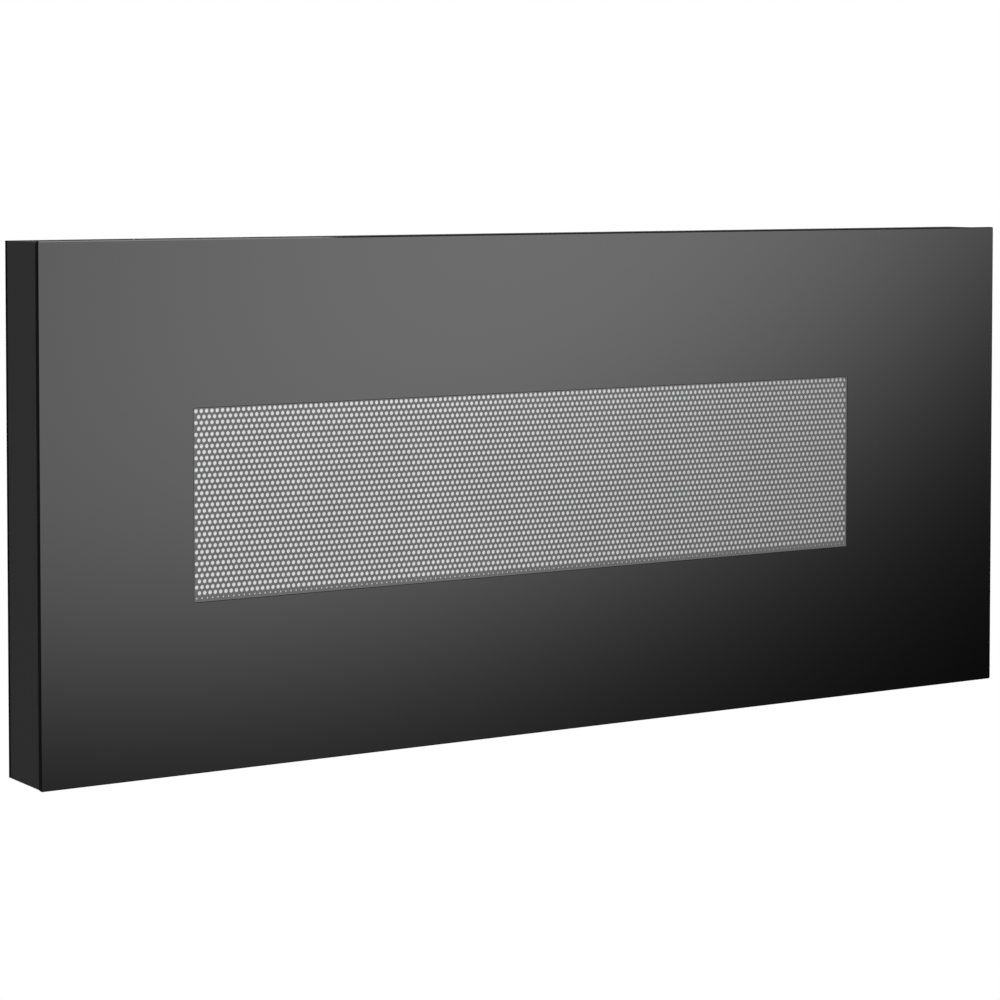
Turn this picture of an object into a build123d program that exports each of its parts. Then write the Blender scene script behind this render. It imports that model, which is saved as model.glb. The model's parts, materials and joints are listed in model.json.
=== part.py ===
from build123d import *
import os
from math import cos, sin, radians

# Wall-hung electric fireplace: black glass front with a perforated window, flame effect and fan heater.

os.makedirs("parts", exist_ok=True)

# Frame: x to the right as seen from the room, y towards the wall, z up, in millimetres.
# The origin is the middle of the wall bracket's screw pattern, on the plane that touches the wall.

# ------------------------------------------------------------------ driving dimensions
width = 1250.0
height = 550.0
depth = 84.0

glass_thickness = 5.0
glass_bevel = 1.0
glass_window_bevel = 0.3
glass_corner_radius = 2.0

window_width = 854.0
window_height = 200.0
window_offset_x = -27.0
window_offset_z = 2.0
window_corner_radius = 1.0

frame_sheet = 1.2
frame_inset = 3.0
frame_window_clearance = 1.0
lift_gap = 1.8
lift_travel = 12.0

screen_sheet = 1.0
screen_recess = 0.3
screen_clearance = 0.25
screen_lip = 10.0

cabinet_inset = 1.0
cabinet_sheet = 1.2
cabinet_flange = 15.0
cabinet_lip = 12.0
wall_gap = 1.5
rear_recess = 14.0
rear_clearance = 0.3

bracket_length = 800.0
bracket_height = 70.0
bracket_sheet = 2.0
bracket_corner_radius = 6.0
bracket_drop = 120.0
bracket_hole_radius = 3.25
bracket_hole_spacing_x = 700.0
bracket_hole_spacing_z = 40.0
bracket_hook_spacing = 500.0
bracket_hook_width = 30.0
bracket_hook_lip = 12.0
bracket_hook_throat = 2.0
bracket_slot_clearance = 1.5

chamber_margin = 12.0
chamber_sheet = 1.0
chamber_front_gap = 3.0
chamber_rear_gap = 7.0
diffuser_thickness = 2.5
diffuser_clearance = 0.5
mask_gap = 11.0

rod_radius = 2.5
rod_height = 45.0
flag_reach = 12.0
running_clearance = 0.05
led_size = 5.0
led_thickness = 1.6
led_board = 1.2
led_pitch = 26.0
led_strip_gap = 8.0
led_top_gap = 30.0

blower_x = 0.0
blower_length = 330.0
blower_radius = 22.0
blower_height = 95.0
blower_gap = 4.0
shaft_radius = 3.0

control_y = -45.0
board_width = 100.0
board_height = 130.0
board_thickness = 1.6
board_side_gap = 43.0
board_standoff = 13.2

button_radius = 4.0
button_travel = 0.8
button_proud = 1.0
button_pitch = 18.0
button_names = ["standby", "flame", "heat", "timer"]
rocker_radius = 8.0
rocker_tilt = 8.0
rocker_width = 8.8

inlet_width = 27.4
inlet_depth = 19.8
inlet_height = 24.0

# ------------------------------------------------------------------ derived places
left_x = -width / 2
right_x = width / 2
top_z = bracket_drop + cabinet_inset
bottom_z = top_z - height
middle_z = (top_z + bottom_z) / 2

glass_back = depth - glass_thickness
frame_back = glass_back - frame_sheet
cabinet_front_y = -(frame_back - lift_gap)
flange_back_y = cabinet_front_y + cabinet_sheet
rear_outer_y = -rear_recess
rear_inner_y = rear_outer_y - cabinet_sheet
lip_front_y = rear_inner_y - cabinet_sheet

window_x = window_offset_x
window_z = middle_z + window_offset_z
window_x0 = window_x - window_width / 2
window_x1 = window_x + window_width / 2
window_z0 = window_z - window_height / 2
window_z1 = window_z + window_height / 2

cabinet_left = left_x + cabinet_inset
cabinet_right = right_x - cabinet_inset
cabinet_bottom = bottom_z + cabinet_inset
cabinet_top = top_z - cabinet_inset
inner_left = cabinet_left + cabinet_sheet
inner_right = cabinet_right - cabinet_sheet
inner_bottom = cabinet_bottom + cabinet_sheet
inner_top = cabinet_top - cabinet_sheet

chamber_x0 = window_x0 - chamber_margin
chamber_x1 = window_x1 + chamber_margin
chamber_z0 = window_z0 - chamber_margin
chamber_z1 = window_z1 + chamber_margin
chamber_front = flange_back_y + chamber_front_gap
chamber_back = rear_inner_y - chamber_rear_gap
chamber_inner_back = chamber_back - chamber_sheet
diffuser_front = chamber_front + chamber_sheet
diffuser_back = diffuser_front + diffuser_thickness
mask_front = diffuser_back + mask_gap

led_face = chamber_inner_back - led_board - led_thickness
rod_y = led_face - flag_reach - 2.0
rod_z = chamber_z0 + rod_height

blower_x0 = blower_x - blower_length / 2
blower_x1 = blower_x + blower_length / 2
duct_front = flange_back_y + blower_gap
duct_back = rear_inner_y - blower_gap
blower_y = (duct_front + duct_back) / 2
blower_z = inner_bottom + blower_height
duct_radius = (duct_back - duct_front) / 2


# ------------------------------------------------------------------ shared shapes
def block(x0, x1, y0, y1, z0, z1, mode=Mode.ADD):
    """A box between two corners."""
    with Locations(((x0 + x1) / 2, (y0 + y1) / 2, (z0 + z1) / 2)):
        Box(x1 - x0, y1 - y0, z1 - z0, mode=mode)


def bar_x(x0, x1, y, z, radius, mode=Mode.ADD):
    """A round bar along x."""
    with Locations(((x0 + x1) / 2, y, z)):
        Cylinder(radius, x1 - x0, rotation=(0, 90, 0), mode=mode)


def bar_y(x, y0, y1, z, radius, mode=Mode.ADD):
    """A round bar along y."""
    with Locations((x, (y0 + y1) / 2, z)):
        Cylinder(radius, y1 - y0, rotation=(90, 0, 0), mode=mode)


def bar_z(x, y, z0, z1, radius, mode=Mode.ADD):
    """A round bar along z."""
    with Locations((x, y, (z0 + z1) / 2)):
        Cylinder(radius, z1 - z0, mode=mode)


def spread(low, high, count):
    """Evenly spaced places from low to high."""
    return [low + (high - low) * i / (count - 1) for i in range(count)]


# ------------------------------------------------------------------ front panel
with BuildPart() as front_glass:
    with BuildSketch(Plane.XZ.offset(glass_back)):
        with Locations((0, middle_z)):
            RectangleRounded(width, height, glass_corner_radius)
        with Locations((window_x, window_z)):
            RectangleRounded(window_width, window_height, window_corner_radius, mode=Mode.SUBTRACT)
    extrude(amount=glass_thickness)
    chamfer(front_glass.faces().sort_by(Axis.Y)[0].outer_wire().edges(), glass_bevel)
    chamfer(front_glass.faces().sort_by(Axis.Y)[0].inner_wires()[0].edges(), glass_window_bevel)
front_glass.part.label = "front_glass"
export_step(front_glass.part, "parts/front_glass.step")

receiver_x = cabinet_right - cabinet_flange / 2
receiver_drop = 112.0
receiver_z = window_z - receiver_drop
receiver_hole_radius = 4.5

with BuildPart() as glass_frame:
    with BuildSketch(Plane.XZ.offset(frame_back)):
        with Locations((0, middle_z)):
            Rectangle(width - 2 * frame_inset, height - 2 * frame_inset)
        with Locations((window_x, window_z)):
            Rectangle(
                window_width + 2 * frame_window_clearance,
                window_height + 2 * frame_window_clearance,
                mode=Mode.SUBTRACT,
            )
        with Locations((receiver_x, receiver_z)):
            Circle(receiver_hole_radius, mode=Mode.SUBTRACT)
    extrude(amount=frame_sheet)
glass_frame.part.label = "glass_frame"
export_step(glass_frame.part, "parts/glass_frame.step")

screen_face = depth - screen_recess
screen_width = window_width - 2 * screen_clearance
screen_height = window_height - 2 * screen_clearance
screen_back = frame_back - screen_sheet
screen_screw_radius = 1.5
screen_screw_inset = 5.0
screw_x = screen_width / 2 + screen_screw_inset
screw_z = screen_height / 2 + screen_screw_inset
screw_reach = 0.45 * screen_width
screw_xs = spread(window_x - screw_reach, window_x + screw_reach, 5)
screen_screw_points = [(x, window_z + side * screw_z) for side in (-1, 1) for x in screw_xs]
screen_screw_points += [(window_x + side * screw_x, window_z) for side in (-1, 1)]

# A shallow pan: perforated face, four walls back through the glass, and a lip behind the frame.
with BuildPart() as window_screen:
    with BuildSketch(Plane.XZ.offset(screen_back)):
        with Locations((window_x, window_z)):
            Rectangle(screen_width + 2 * screen_lip, screen_height + 2 * screen_lip)
        with Locations(*screen_screw_points):
            Circle(screen_screw_radius, mode=Mode.SUBTRACT)
    extrude(amount=screen_sheet)
    with BuildSketch(Plane.XZ.offset(frame_back)):
        with Locations((window_x, window_z)):
            RectangleRounded(screen_width, screen_height, window_corner_radius)
    extrude(amount=screen_face - frame_back)
    with BuildSketch(Plane.XZ.offset(screen_back)):
        with Locations((window_x, window_z)):
            Rectangle(screen_width - 2 * screen_sheet, screen_height - 2 * screen_sheet)
    extrude(amount=screen_face - screen_sheet - screen_back, mode=Mode.SUBTRACT)
window_screen.part.label = "window_screen"
export_step(window_screen.part, "parts/window_screen.step")

# Pan-head screws that hold the screen's lip against the frame, ending at the frame's sheet.
screen_head_radius = 2.8
screen_head_height = 1.4
with BuildPart() as screen_screws:
    for point_x, point_z in screen_screw_points:
        bar_y(point_x, -frame_back, -screen_back, point_z, screen_screw_radius)
        bar_y(point_x, -screen_back, -screen_back + screen_head_height, point_z, screen_head_radius)
screen_screws.part.label = "screen_screws"
export_step(screen_screws.part, "parts/screen_screws.step")

# Steel hooks on the frame that drop behind the side panels' front flanges.
hook_sheet = 1.5
hook_arm = 8.0
hook_drop = 10.0
hook_reach = 10.0
hook_slot_clearance = 1.25
hook_rest_gap = 0.05
hook_x = cabinet_flange / 2
hook_edge = 110.0
hook_zs = [bottom_z + hook_edge, top_z - hook_edge]
hook_tip_y = flange_back_y + 2.0
hook_points = [(x, z) for x in (cabinet_left + hook_x, cabinet_right - hook_x) for z in hook_zs]
with BuildPart() as frame_hooks:
    for point_x, point_z in hook_points:
        x0 = point_x - hook_sheet / 2
        x1 = point_x + hook_sheet / 2
        block(x0, x1, -frame_back, hook_tip_y + hook_reach / 2, point_z, point_z + hook_arm)
        block(x0, x1, hook_tip_y, hook_tip_y + hook_reach / 2, point_z - hook_drop, point_z + hook_arm)
frame_hooks.part.label = "frame_hooks"
export_step(frame_hooks.part, "parts/frame_hooks.step")

# ------------------------------------------------------------------ cabinet
rear_screw_radius = 1.5
rear_screw_clearance = 0.1
rear_screw_inset = cabinet_sheet + (cabinet_lip - cabinet_sheet) / 2
rear_screw_end = 60.0
rear_screw_side = 90.0
rear_screw_xs = spread(cabinet_left + rear_screw_end, cabinet_right - rear_screw_end, 5)
rear_screw_zs = spread(cabinet_bottom + rear_screw_side, cabinet_top - rear_screw_side, 3)
top_screws = [(x, cabinet_top - rear_screw_inset) for x in rear_screw_xs]
bottom_screws = [(x, cabinet_bottom + rear_screw_inset) for x in rear_screw_xs]
left_screws = [(cabinet_left + rear_screw_inset, z) for z in rear_screw_zs]
right_screws = [(cabinet_right - rear_screw_inset, z) for z in rear_screw_zs]


def drill_rear(points):
    """Screw holes through the rear lips or the rear panel."""
    for point_x, point_z in points:
        radius = rear_screw_radius + rear_screw_clearance
        bar_y(point_x, lip_front_y - 1.0, rear_outer_y + 1.0, point_z, radius, Mode.SUBTRACT)


slot_length = 32.0
slot_width = 3.5
slot_pitch = 12.0
slot_margin = 150.0
slot_count = int((width - 2 * slot_margin) / slot_pitch)
slot_y = (flange_back_y + rear_inner_y) / 2

# The top wall folds down into a front flange and a rear lip, and has a row of air intake slots.
with BuildPart() as top_panel:
    block(cabinet_left, cabinet_right, cabinet_front_y, -wall_gap, inner_top, cabinet_top)
    flange_low = cabinet_top - cabinet_flange
    block(cabinet_left, cabinet_right, cabinet_front_y, flange_back_y, flange_low, inner_top)
    block(inner_left, inner_right, lip_front_y, rear_inner_y, cabinet_top - cabinet_lip, inner_top)
    drill_rear(top_screws)
    with BuildSketch(Plane.XY.offset(inner_top)):
        with Locations((0, slot_y)):
            with GridLocations(slot_pitch, slot_length, slot_count, 1):
                SlotOverall(slot_length, slot_width, rotation=90)
    extrude(amount=cabinet_sheet, mode=Mode.SUBTRACT)
top_panel.part.label = "top_panel"
export_step(top_panel.part, "parts/top_panel.step")

grille_end_gap = 4.0
grille_side_gap = 3.0
grille_x0 = blower_x0 + grille_end_gap
grille_x1 = blower_x1 - grille_end_gap
grille_y0 = duct_front + grille_side_gap
grille_y1 = duct_back - grille_side_gap
grille_clearance = 0.3
inlet_inset = 60.0
inlet_x = cabinet_right - inlet_inset
inlet_clearance = 0.2
inlet_half_x = inlet_width / 2
inlet_half_y = inlet_depth / 2

# The bottom wall folds the same way, with the warm-air outlet and the mains inlet cut through it.
with BuildPart() as bottom_panel:
    block(cabinet_left, cabinet_right, cabinet_front_y, -wall_gap, cabinet_bottom, inner_bottom)
    flange_high = cabinet_bottom + cabinet_flange
    block(cabinet_left, cabinet_right, cabinet_front_y, flange_back_y, inner_bottom, flange_high)
    block(inner_left, inner_right, lip_front_y, rear_inner_y, inner_bottom, cabinet_bottom + cabinet_lip)
    drill_rear(bottom_screws)
    block(grille_x0, grille_x1, grille_y0, grille_y1, cabinet_bottom, inner_bottom, Mode.SUBTRACT)
    block(
        inlet_x - inlet_half_x - inlet_clearance,
        inlet_x + inlet_half_x + inlet_clearance,
        control_y - inlet_half_y - inlet_clearance,
        control_y + inlet_half_y + inlet_clearance,
        cabinet_bottom,
        inner_bottom,
        Mode.SUBTRACT,
    )
bottom_panel.part.label = "bottom_panel"
export_step(bottom_panel.part, "parts/bottom_panel.step")


def side_panel(outer_x, inner_x, flange_x, lip_x, screw_points):
    """A side wall between top and bottom, with a front flange slotted for two hooks and a rear lip."""
    wall = sorted((outer_x, inner_x))
    flange = sorted((outer_x, flange_x))
    lip = sorted((inner_x, lip_x))
    block(*wall, flange_back_y, -wall_gap, inner_bottom, inner_top)
    flange_span = (cabinet_bottom + cabinet_flange, cabinet_top - cabinet_flange)
    block(*flange, cabinet_front_y, flange_back_y, *flange_span)
    block(*lip, lip_front_y, rear_inner_y, cabinet_bottom + cabinet_lip, cabinet_top - cabinet_lip)
    drill_rear(screw_points)
    middle_x = (outer_x + flange_x) / 2
    for hook_z in hook_zs:
        half = hook_sheet / 2 + hook_slot_clearance
        low = hook_z - hook_rest_gap
        high = hook_z + hook_arm + hook_drop + lift_travel
        block(middle_x - half, middle_x + half, cabinet_front_y, flange_back_y, low, high, Mode.SUBTRACT)


with BuildPart() as left_side_panel:
    left_flange = cabinet_left + cabinet_flange
    side_panel(cabinet_left, inner_left, left_flange, cabinet_left + cabinet_lip, left_screws)
left_side_panel.part.label = "left_side_panel"
export_step(left_side_panel.part, "parts/left_side_panel.step")

rocker_drop = 110.0
buttons_drop = 78.0
rocker_z = cabinet_top - rocker_drop
buttons_z = rocker_z - buttons_drop
bezel_width = 16.0
bezel_end = 4.0
bezel_length = button_pitch * len(button_names) + 2 * bezel_end
bezel_clearance = 0.1
bezel_rim = 2.0
rocker_frame_width = 13.0
rocker_frame_length = 22.0
buttons_reach = button_pitch * (len(button_names) - 1) / 2
button_zs = spread(buttons_z - buttons_reach, buttons_z + buttons_reach, len(button_names))

with BuildPart() as right_side_panel:
    right_flange = cabinet_right - cabinet_flange
    side_panel(cabinet_right, inner_right, right_flange, cabinet_right - cabinet_lip, right_screws)
    bar_y(receiver_x, cabinet_front_y, flange_back_y, receiver_z, receiver_hole_radius, Mode.SUBTRACT)
    for cut_z, cut_width, cut_length in (
        (rocker_z, rocker_frame_width, rocker_frame_length),
        (buttons_z, bezel_width, bezel_length),
    ):
        half_y = cut_width / 2 + bezel_clearance
        half_z = cut_length / 2 + bezel_clearance
        block(
            inner_right,
            cabinet_right,
            control_y - half_y,
            control_y + half_y,
            cut_z - half_z,
            cut_z + half_z,
            Mode.SUBTRACT,
        )
right_side_panel.part.label = "right_side_panel"
export_step(right_side_panel.part, "parts/right_side_panel.step")

bracket_z = 0.0
hook_tongue_rise = 6.0
hook_tongue_z = bracket_z + hook_tongue_rise
bracket_hook_xs = [-bracket_hook_spacing / 2, bracket_hook_spacing / 2]
vent_rows = 3
vent_count = 14
vent_length = 22.0
vent_pitch_x = vent_length + 6.0
vent_pitch_z = 9.0

# The recessed back: hung by two slots on the wall bracket, with vents behind the blower.
with BuildPart() as rear_panel:
    block(
        inner_left + rear_clearance,
        inner_right - rear_clearance,
        rear_inner_y,
        rear_outer_y,
        inner_bottom + rear_clearance,
        inner_top - rear_clearance,
    )
    drill_rear(top_screws + bottom_screws + left_screws + right_screws)
    for point_x in bracket_hook_xs:
        half = bracket_hook_width / 2 + bracket_slot_clearance
        low = hook_tongue_z - bracket_sheet - bracket_hook_lip - bracket_slot_clearance
        block(point_x - half, point_x + half, rear_inner_y, rear_outer_y, low, hook_tongue_z, Mode.SUBTRACT)
    with BuildSketch(Plane.XZ.offset(-rear_outer_y)):
        with Locations((blower_x, blower_z)):
            with GridLocations(vent_pitch_x, vent_pitch_z, vent_count, vent_rows):
                SlotOverall(vent_length, slot_width)
    extrude(amount=cabinet_sheet, mode=Mode.SUBTRACT)
rear_panel.part.label = "rear_panel"
export_step(rear_panel.part, "parts/rear_panel.step")

rear_head_radius = 3.2
rear_head_height = 2.0
rear_screw_tip = 2.0
with BuildPart() as rear_screws:
    for point_x, point_z in top_screws + bottom_screws + left_screws + right_screws:
        bar_y(point_x, lip_front_y - rear_screw_tip, rear_outer_y, point_z, rear_screw_radius)
        bar_y(point_x, rear_outer_y, rear_outer_y + rear_head_height, point_z, rear_head_radius)
rear_screws.part.label = "rear_screws"
export_step(rear_screws.part, "parts/rear_screws.step")

# Wall bracket: a flat rail with four screw holes and two upturned hooks.
with BuildPart() as wall_bracket:
    with BuildSketch(Plane.XZ):
        with Locations((0, bracket_z)):
            RectangleRounded(bracket_length, bracket_height, bracket_corner_radius)
            with GridLocations(bracket_hole_spacing_x, bracket_hole_spacing_z, 2, 2):
                Circle(bracket_hole_radius, mode=Mode.SUBTRACT)
    extrude(amount=bracket_sheet)
    for point_x in bracket_hook_xs:
        x0 = point_x - bracket_hook_width / 2
        x1 = point_x + bracket_hook_width / 2
        lip_back = rear_inner_y - bracket_hook_throat
        lip_front = lip_back - bracket_sheet
        block(x0, x1, lip_front, -bracket_sheet, hook_tongue_z - bracket_sheet, hook_tongue_z)
        block(x0, x1, lip_front, lip_back, hook_tongue_z, hook_tongue_z + bracket_hook_lip)
wall_bracket.part.label = "wall_bracket"
export_step(wall_bracket.part, "parts/wall_bracket.step")

bumper_radius = 9.0
bumper_inset = 60.0
with BuildPart() as wall_bumpers:
    for point_x in (cabinet_left + bumper_inset, cabinet_right - bumper_inset):
        bar_y(point_x, rear_outer_y, 0.0, cabinet_bottom + bumper_inset, bumper_radius)
    chamfer(wall_bumpers.edges().group_by(Axis.Y)[-1], 1.5)
wall_bumpers.part.label = "wall_bumpers"
export_step(wall_bumpers.part, "parts/wall_bumpers.step")

# ------------------------------------------------------------------ light chamber behind the window
with BuildPart() as chamber_back_plate:
    block(chamber_x0, chamber_x1, chamber_inner_back, chamber_back, chamber_z0, chamber_z1)
chamber_back_plate.part.label = "chamber_back"
export_step(chamber_back_plate.part, "parts/chamber_back.step")

with BuildPart() as chamber_plates:
    block(chamber_x0, chamber_x1, chamber_front, chamber_inner_back, chamber_z0, chamber_z0 + chamber_sheet)
    block(chamber_x0, chamber_x1, chamber_front, chamber_inner_back, chamber_z1 - chamber_sheet, chamber_z1)
chamber_plates.part.label = "chamber_plates"
export_step(chamber_plates.part, "parts/chamber_plates.step")

bush_radius = 5.0
chamber_low = chamber_z0 + chamber_sheet
chamber_high = chamber_z1 - chamber_sheet
chamber_inner_x0 = chamber_x0 + chamber_sheet
chamber_inner_x1 = chamber_x1 - chamber_sheet

with BuildPart() as chamber_ends:
    for end_x in ((chamber_x0, chamber_inner_x0), (chamber_inner_x1, chamber_x1)):
        block(*end_x, chamber_front, chamber_inner_back, chamber_low, chamber_high)
        bar_x(*end_x, rod_y, rod_z, bush_radius, Mode.SUBTRACT)
chamber_ends.part.label = "chamber_ends"
export_step(chamber_ends.part, "parts/chamber_ends.step")

spacer_radius = 5.0
with BuildPart() as chamber_spacers:
    for point_x in spread(chamber_x0 + 30.0, chamber_x1 - 30.0, 4):
        for point_z in (chamber_z0 + 15.0, chamber_z1 - 15.0):
            bar_y(point_x, chamber_back, rear_inner_y, point_z, spacer_radius)
chamber_spacers.part.label = "chamber_spacers"
export_step(chamber_spacers.part, "parts/chamber_spacers.step")

with BuildPart() as light_diffuser:
    block(
        chamber_inner_x0 + diffuser_clearance,
        chamber_inner_x1 - diffuser_clearance,
        diffuser_front,
        diffuser_back,
        chamber_low + diffuser_clearance,
        chamber_high - diffuser_clearance,
    )
light_diffuser.part.label = "light_diffuser"
export_step(light_diffuser.part, "parts/light_diffuser.step")

clip_length = 20.0
clip_height = 6.0
with BuildPart() as diffuser_clips:
    for point_x in spread(chamber_x0 + 60.0, chamber_x1 - 60.0, 5):
        for low in (chamber_low, chamber_high - clip_height):
            half = clip_length / 2
            block(point_x - half, point_x + half, chamber_front, diffuser_front, low, low + clip_height)
diffuser_clips.part.label = "diffuser_clips"
export_step(diffuser_clips.part, "parts/diffuser_clips.step")

# A plate with leaf-shaped openings that shape the light into flames.
mask_sheet = 1.0
leaf_count = 17
leaf_pitch = (chamber_inner_x1 - chamber_inner_x0) / (leaf_count + 1)
with BuildPart() as flame_mask:
    with BuildSketch(Plane.XZ.offset(-mask_front)):
        with Locations(((chamber_inner_x0 + chamber_inner_x1) / 2, (chamber_low + chamber_high) / 2)):
            Rectangle(chamber_inner_x1 - chamber_inner_x0, chamber_high - chamber_low)
    extrude(amount=-mask_sheet)
    with BuildSketch(Plane.XZ.offset(-mask_front)):
        for leaf in range(leaf_count):
            leaf_x = chamber_inner_x0 + leaf_pitch * (leaf + 1)
            root = (leaf_x, chamber_low + 0.10 * window_height)
            leaf_length = window_height * (0.55 + 0.22 * sin(leaf * 2.4))
            tip = (leaf_x + 0.25 * leaf_pitch * cos(leaf * 1.7), root[1] + leaf_length)
            belly_z = root[1] + 0.35 * leaf_length
            belly = 0.36 * leaf_pitch
            with BuildLine():
                ThreePointArc(root, (leaf_x - belly, belly_z), tip)
                ThreePointArc(tip, (leaf_x + belly, belly_z), root)
            make_face()
    extrude(amount=-mask_sheet, mode=Mode.SUBTRACT)
flame_mask.part.label = "flame_mask"
export_step(flame_mask.part, "parts/flame_mask.step")


def led_strip(strip_z):
    """A narrow board on the chamber's back with a row of LEDs on its face."""
    strip_x0 = chamber_inner_x0 + led_strip_gap
    strip_x1 = chamber_inner_x1 - led_strip_gap
    face = chamber_inner_back - led_board
    block(strip_x0, strip_x1, face, chamber_inner_back, strip_z - led_size, strip_z + led_size)
    count = int((strip_x1 - strip_x0 - led_pitch) / led_pitch)
    half = led_size / 2
    for point_x in spread(strip_x0 + led_pitch / 2, strip_x1 - led_pitch / 2, count):
        block(point_x - half, point_x + half, led_face, face, strip_z - half, strip_z + half)


with BuildPart() as led_strips:
    led_strip(rod_z)
    led_strip(chamber_high - led_top_gap)
led_strips.part.label = "led_strips"
export_step(led_strips.part, "parts/led_strips.step")

# ------------------------------------------------------------------ flicker rod and its motor
coupling_x = chamber_x1 + 12.0
coupling_half = 7.0
motor_x0 = chamber_x1 + 24.0
motor_length = 16.0
motor_radius = 20.0
motor_shaft_radius = 2.0
motor_shaft_depth = 8.0
bush_length = 5.0

with BuildPart() as flicker_rod:
    bar_x(chamber_x0 - 6.0, coupling_x, rod_y, rod_z, rod_radius)
flicker_rod.part.label = "flicker_rod"
export_step(flicker_rod.part, "parts/flicker_rod.step")

flag_count = 20
flag_length = 26.0
flag_sheet = 0.5
collar_radius = 4.0
flag_xs = spread(chamber_inner_x0 + 30.0, chamber_inner_x1 - 30.0, flag_count)
with BuildPart() as flicker_flags:
    for index, point_x in enumerate(flag_xs):
        with Locations(Location((point_x, rod_y, rod_z), (index * 67.0, 0, 0))):
            Box(flag_length, flag_sheet, 2 * (flag_reach - 0.5))
        bar_x(point_x - flag_length / 2, point_x + flag_length / 2, rod_y, rod_z, collar_radius)
    bar_x(chamber_x0, chamber_x1, rod_y, rod_z, rod_radius, Mode.SUBTRACT)
flicker_flags.part.label = "flicker_flags"
export_step(flicker_flags.part, "parts/flicker_flags.step")

bush_flange = 1.5
with BuildPart() as rod_bushes:
    for outer_x, side in ((chamber_x0, -1), (chamber_x1, 1)):
        body = sorted((outer_x, outer_x - side * bush_length))
        flange = sorted((outer_x, outer_x + side * bush_flange))
        bar_x(*body, rod_y, rod_z, bush_radius)
        bar_x(*flange, rod_y, rod_z, bush_radius + 2.0)
    bore = rod_radius + running_clearance
    bar_x(chamber_x0 - bush_length, chamber_x1 + bush_length, rod_y, rod_z, bore, Mode.SUBTRACT)
rod_bushes.part.label = "rod_bushes"
export_step(rod_bushes.part, "parts/rod_bushes.step")

with BuildPart() as rod_coupling:
    bar_x(coupling_x - coupling_half, coupling_x + coupling_half, rod_y, rod_z, rod_radius + 2.5)
    bar_x(coupling_x - coupling_half, coupling_x, rod_y, rod_z, rod_radius, Mode.SUBTRACT)
    bar_x(coupling_x, coupling_x + coupling_half, rod_y, rod_z, motor_shaft_radius, Mode.SUBTRACT)
rod_coupling.part.label = "rod_coupling"
export_step(rod_coupling.part, "parts/rod_coupling.step")

with BuildPart() as flicker_motor_shaft:
    bar_x(coupling_x, motor_x0 + motor_shaft_depth - 1.0, rod_y, rod_z, motor_shaft_radius)
flicker_motor_shaft.part.label = "flicker_motor_shaft"
export_step(flicker_motor_shaft.part, "parts/flicker_motor_shaft.step")

with BuildPart() as flicker_motor:
    bar_x(motor_x0, motor_x0 + motor_length, rod_y, rod_z, motor_radius)
    chamfer(flicker_motor.edges().group_by(Axis.X)[-1], 1.0)
    bore = motor_shaft_radius + running_clearance
    bar_x(motor_x0, motor_x0 + motor_shaft_depth, rod_y, rod_z, bore, Mode.SUBTRACT)
flicker_motor.part.label = "flicker_motor"
export_step(flicker_motor.part, "parts/flicker_motor.step")

# A U bracket from the chamber's end to the motor's face, open around the coupling.
mount_sheet = 1.5
mount_half = 24.0
mount_half_depth = 12.0
with BuildPart() as flicker_motor_bracket:
    depth_span = (rod_y - mount_half_depth, rod_y + mount_half_depth)
    block(motor_x0 - mount_sheet, motor_x0, *depth_span, rod_z - mount_half, rod_z + mount_half)
    for side in (-1, 1):
        leg = sorted((rod_z + side * mount_half, rod_z + side * (mount_half - mount_sheet)))
        block(chamber_x1, motor_x0, *depth_span, *leg)
    bar_x(motor_x0 - mount_sheet, motor_x0, rod_y, rod_z, rod_radius + 4.0, Mode.SUBTRACT)
flicker_motor_bracket.part.label = "flicker_motor_bracket"
export_step(flicker_motor_bracket.part, "parts/flicker_motor_bracket.step")

# ------------------------------------------------------------------ fan heater
duct_sheet = 1.0
duct_end_gap = 4.0
duct_x0 = blower_x0 - duct_end_gap
duct_x1 = blower_x1 + duct_end_gap
tongue_gap = 3.0
tongue_angle = radians(40)
wall_front = duct_front + duct_sheet / 2
wall_back = duct_back - duct_sheet / 2
arc_radius = wall_back - blower_y
tongue_y = blower_y - (blower_radius + tongue_gap) * cos(tongue_angle)
tongue_z = blower_z - (blower_radius + tongue_gap) * sin(tongue_angle)

# The scroll: a straight back wall that wraps over the impeller, and a front wall with a short tongue.
with BuildPart() as blower_duct:
    with BuildSketch(Plane.YZ.offset(duct_x0)):
        with BuildLine():
            Line((wall_back, inner_bottom), (wall_back, blower_z))
            CenterArc((blower_y, blower_z), arc_radius, 0, 95)
        trace(line_width=duct_sheet)
        with BuildLine():
            Polyline((wall_front, inner_bottom), (wall_front, tongue_z - 5.0), (tongue_y, tongue_z))
        trace(line_width=duct_sheet)
    extrude(amount=duct_x1 - duct_x0)
    block(duct_x0, duct_x1, duct_front, duct_back, inner_bottom - duct_sheet, inner_bottom, Mode.SUBTRACT)
blower_duct.part.label = "blower_duct"
export_step(blower_duct.part, "parts/blower_duct.step")

end_top = blower_z + duct_radius + 3.0
shaft_bush_radius = 7.0
end_left = (duct_x0 - duct_sheet, duct_x0)
end_right = (duct_x1, duct_x1 + duct_sheet)
with BuildPart() as duct_end_plates:
    for end_x in (end_left, end_right):
        block(*end_x, duct_front, duct_back, inner_bottom, end_top)
        bar_x(*end_x, blower_y, blower_z, shaft_bush_radius, Mode.SUBTRACT)
duct_end_plates.part.label = "duct_end_plates"
export_step(duct_end_plates.part, "parts/duct_end_plates.step")

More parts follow.
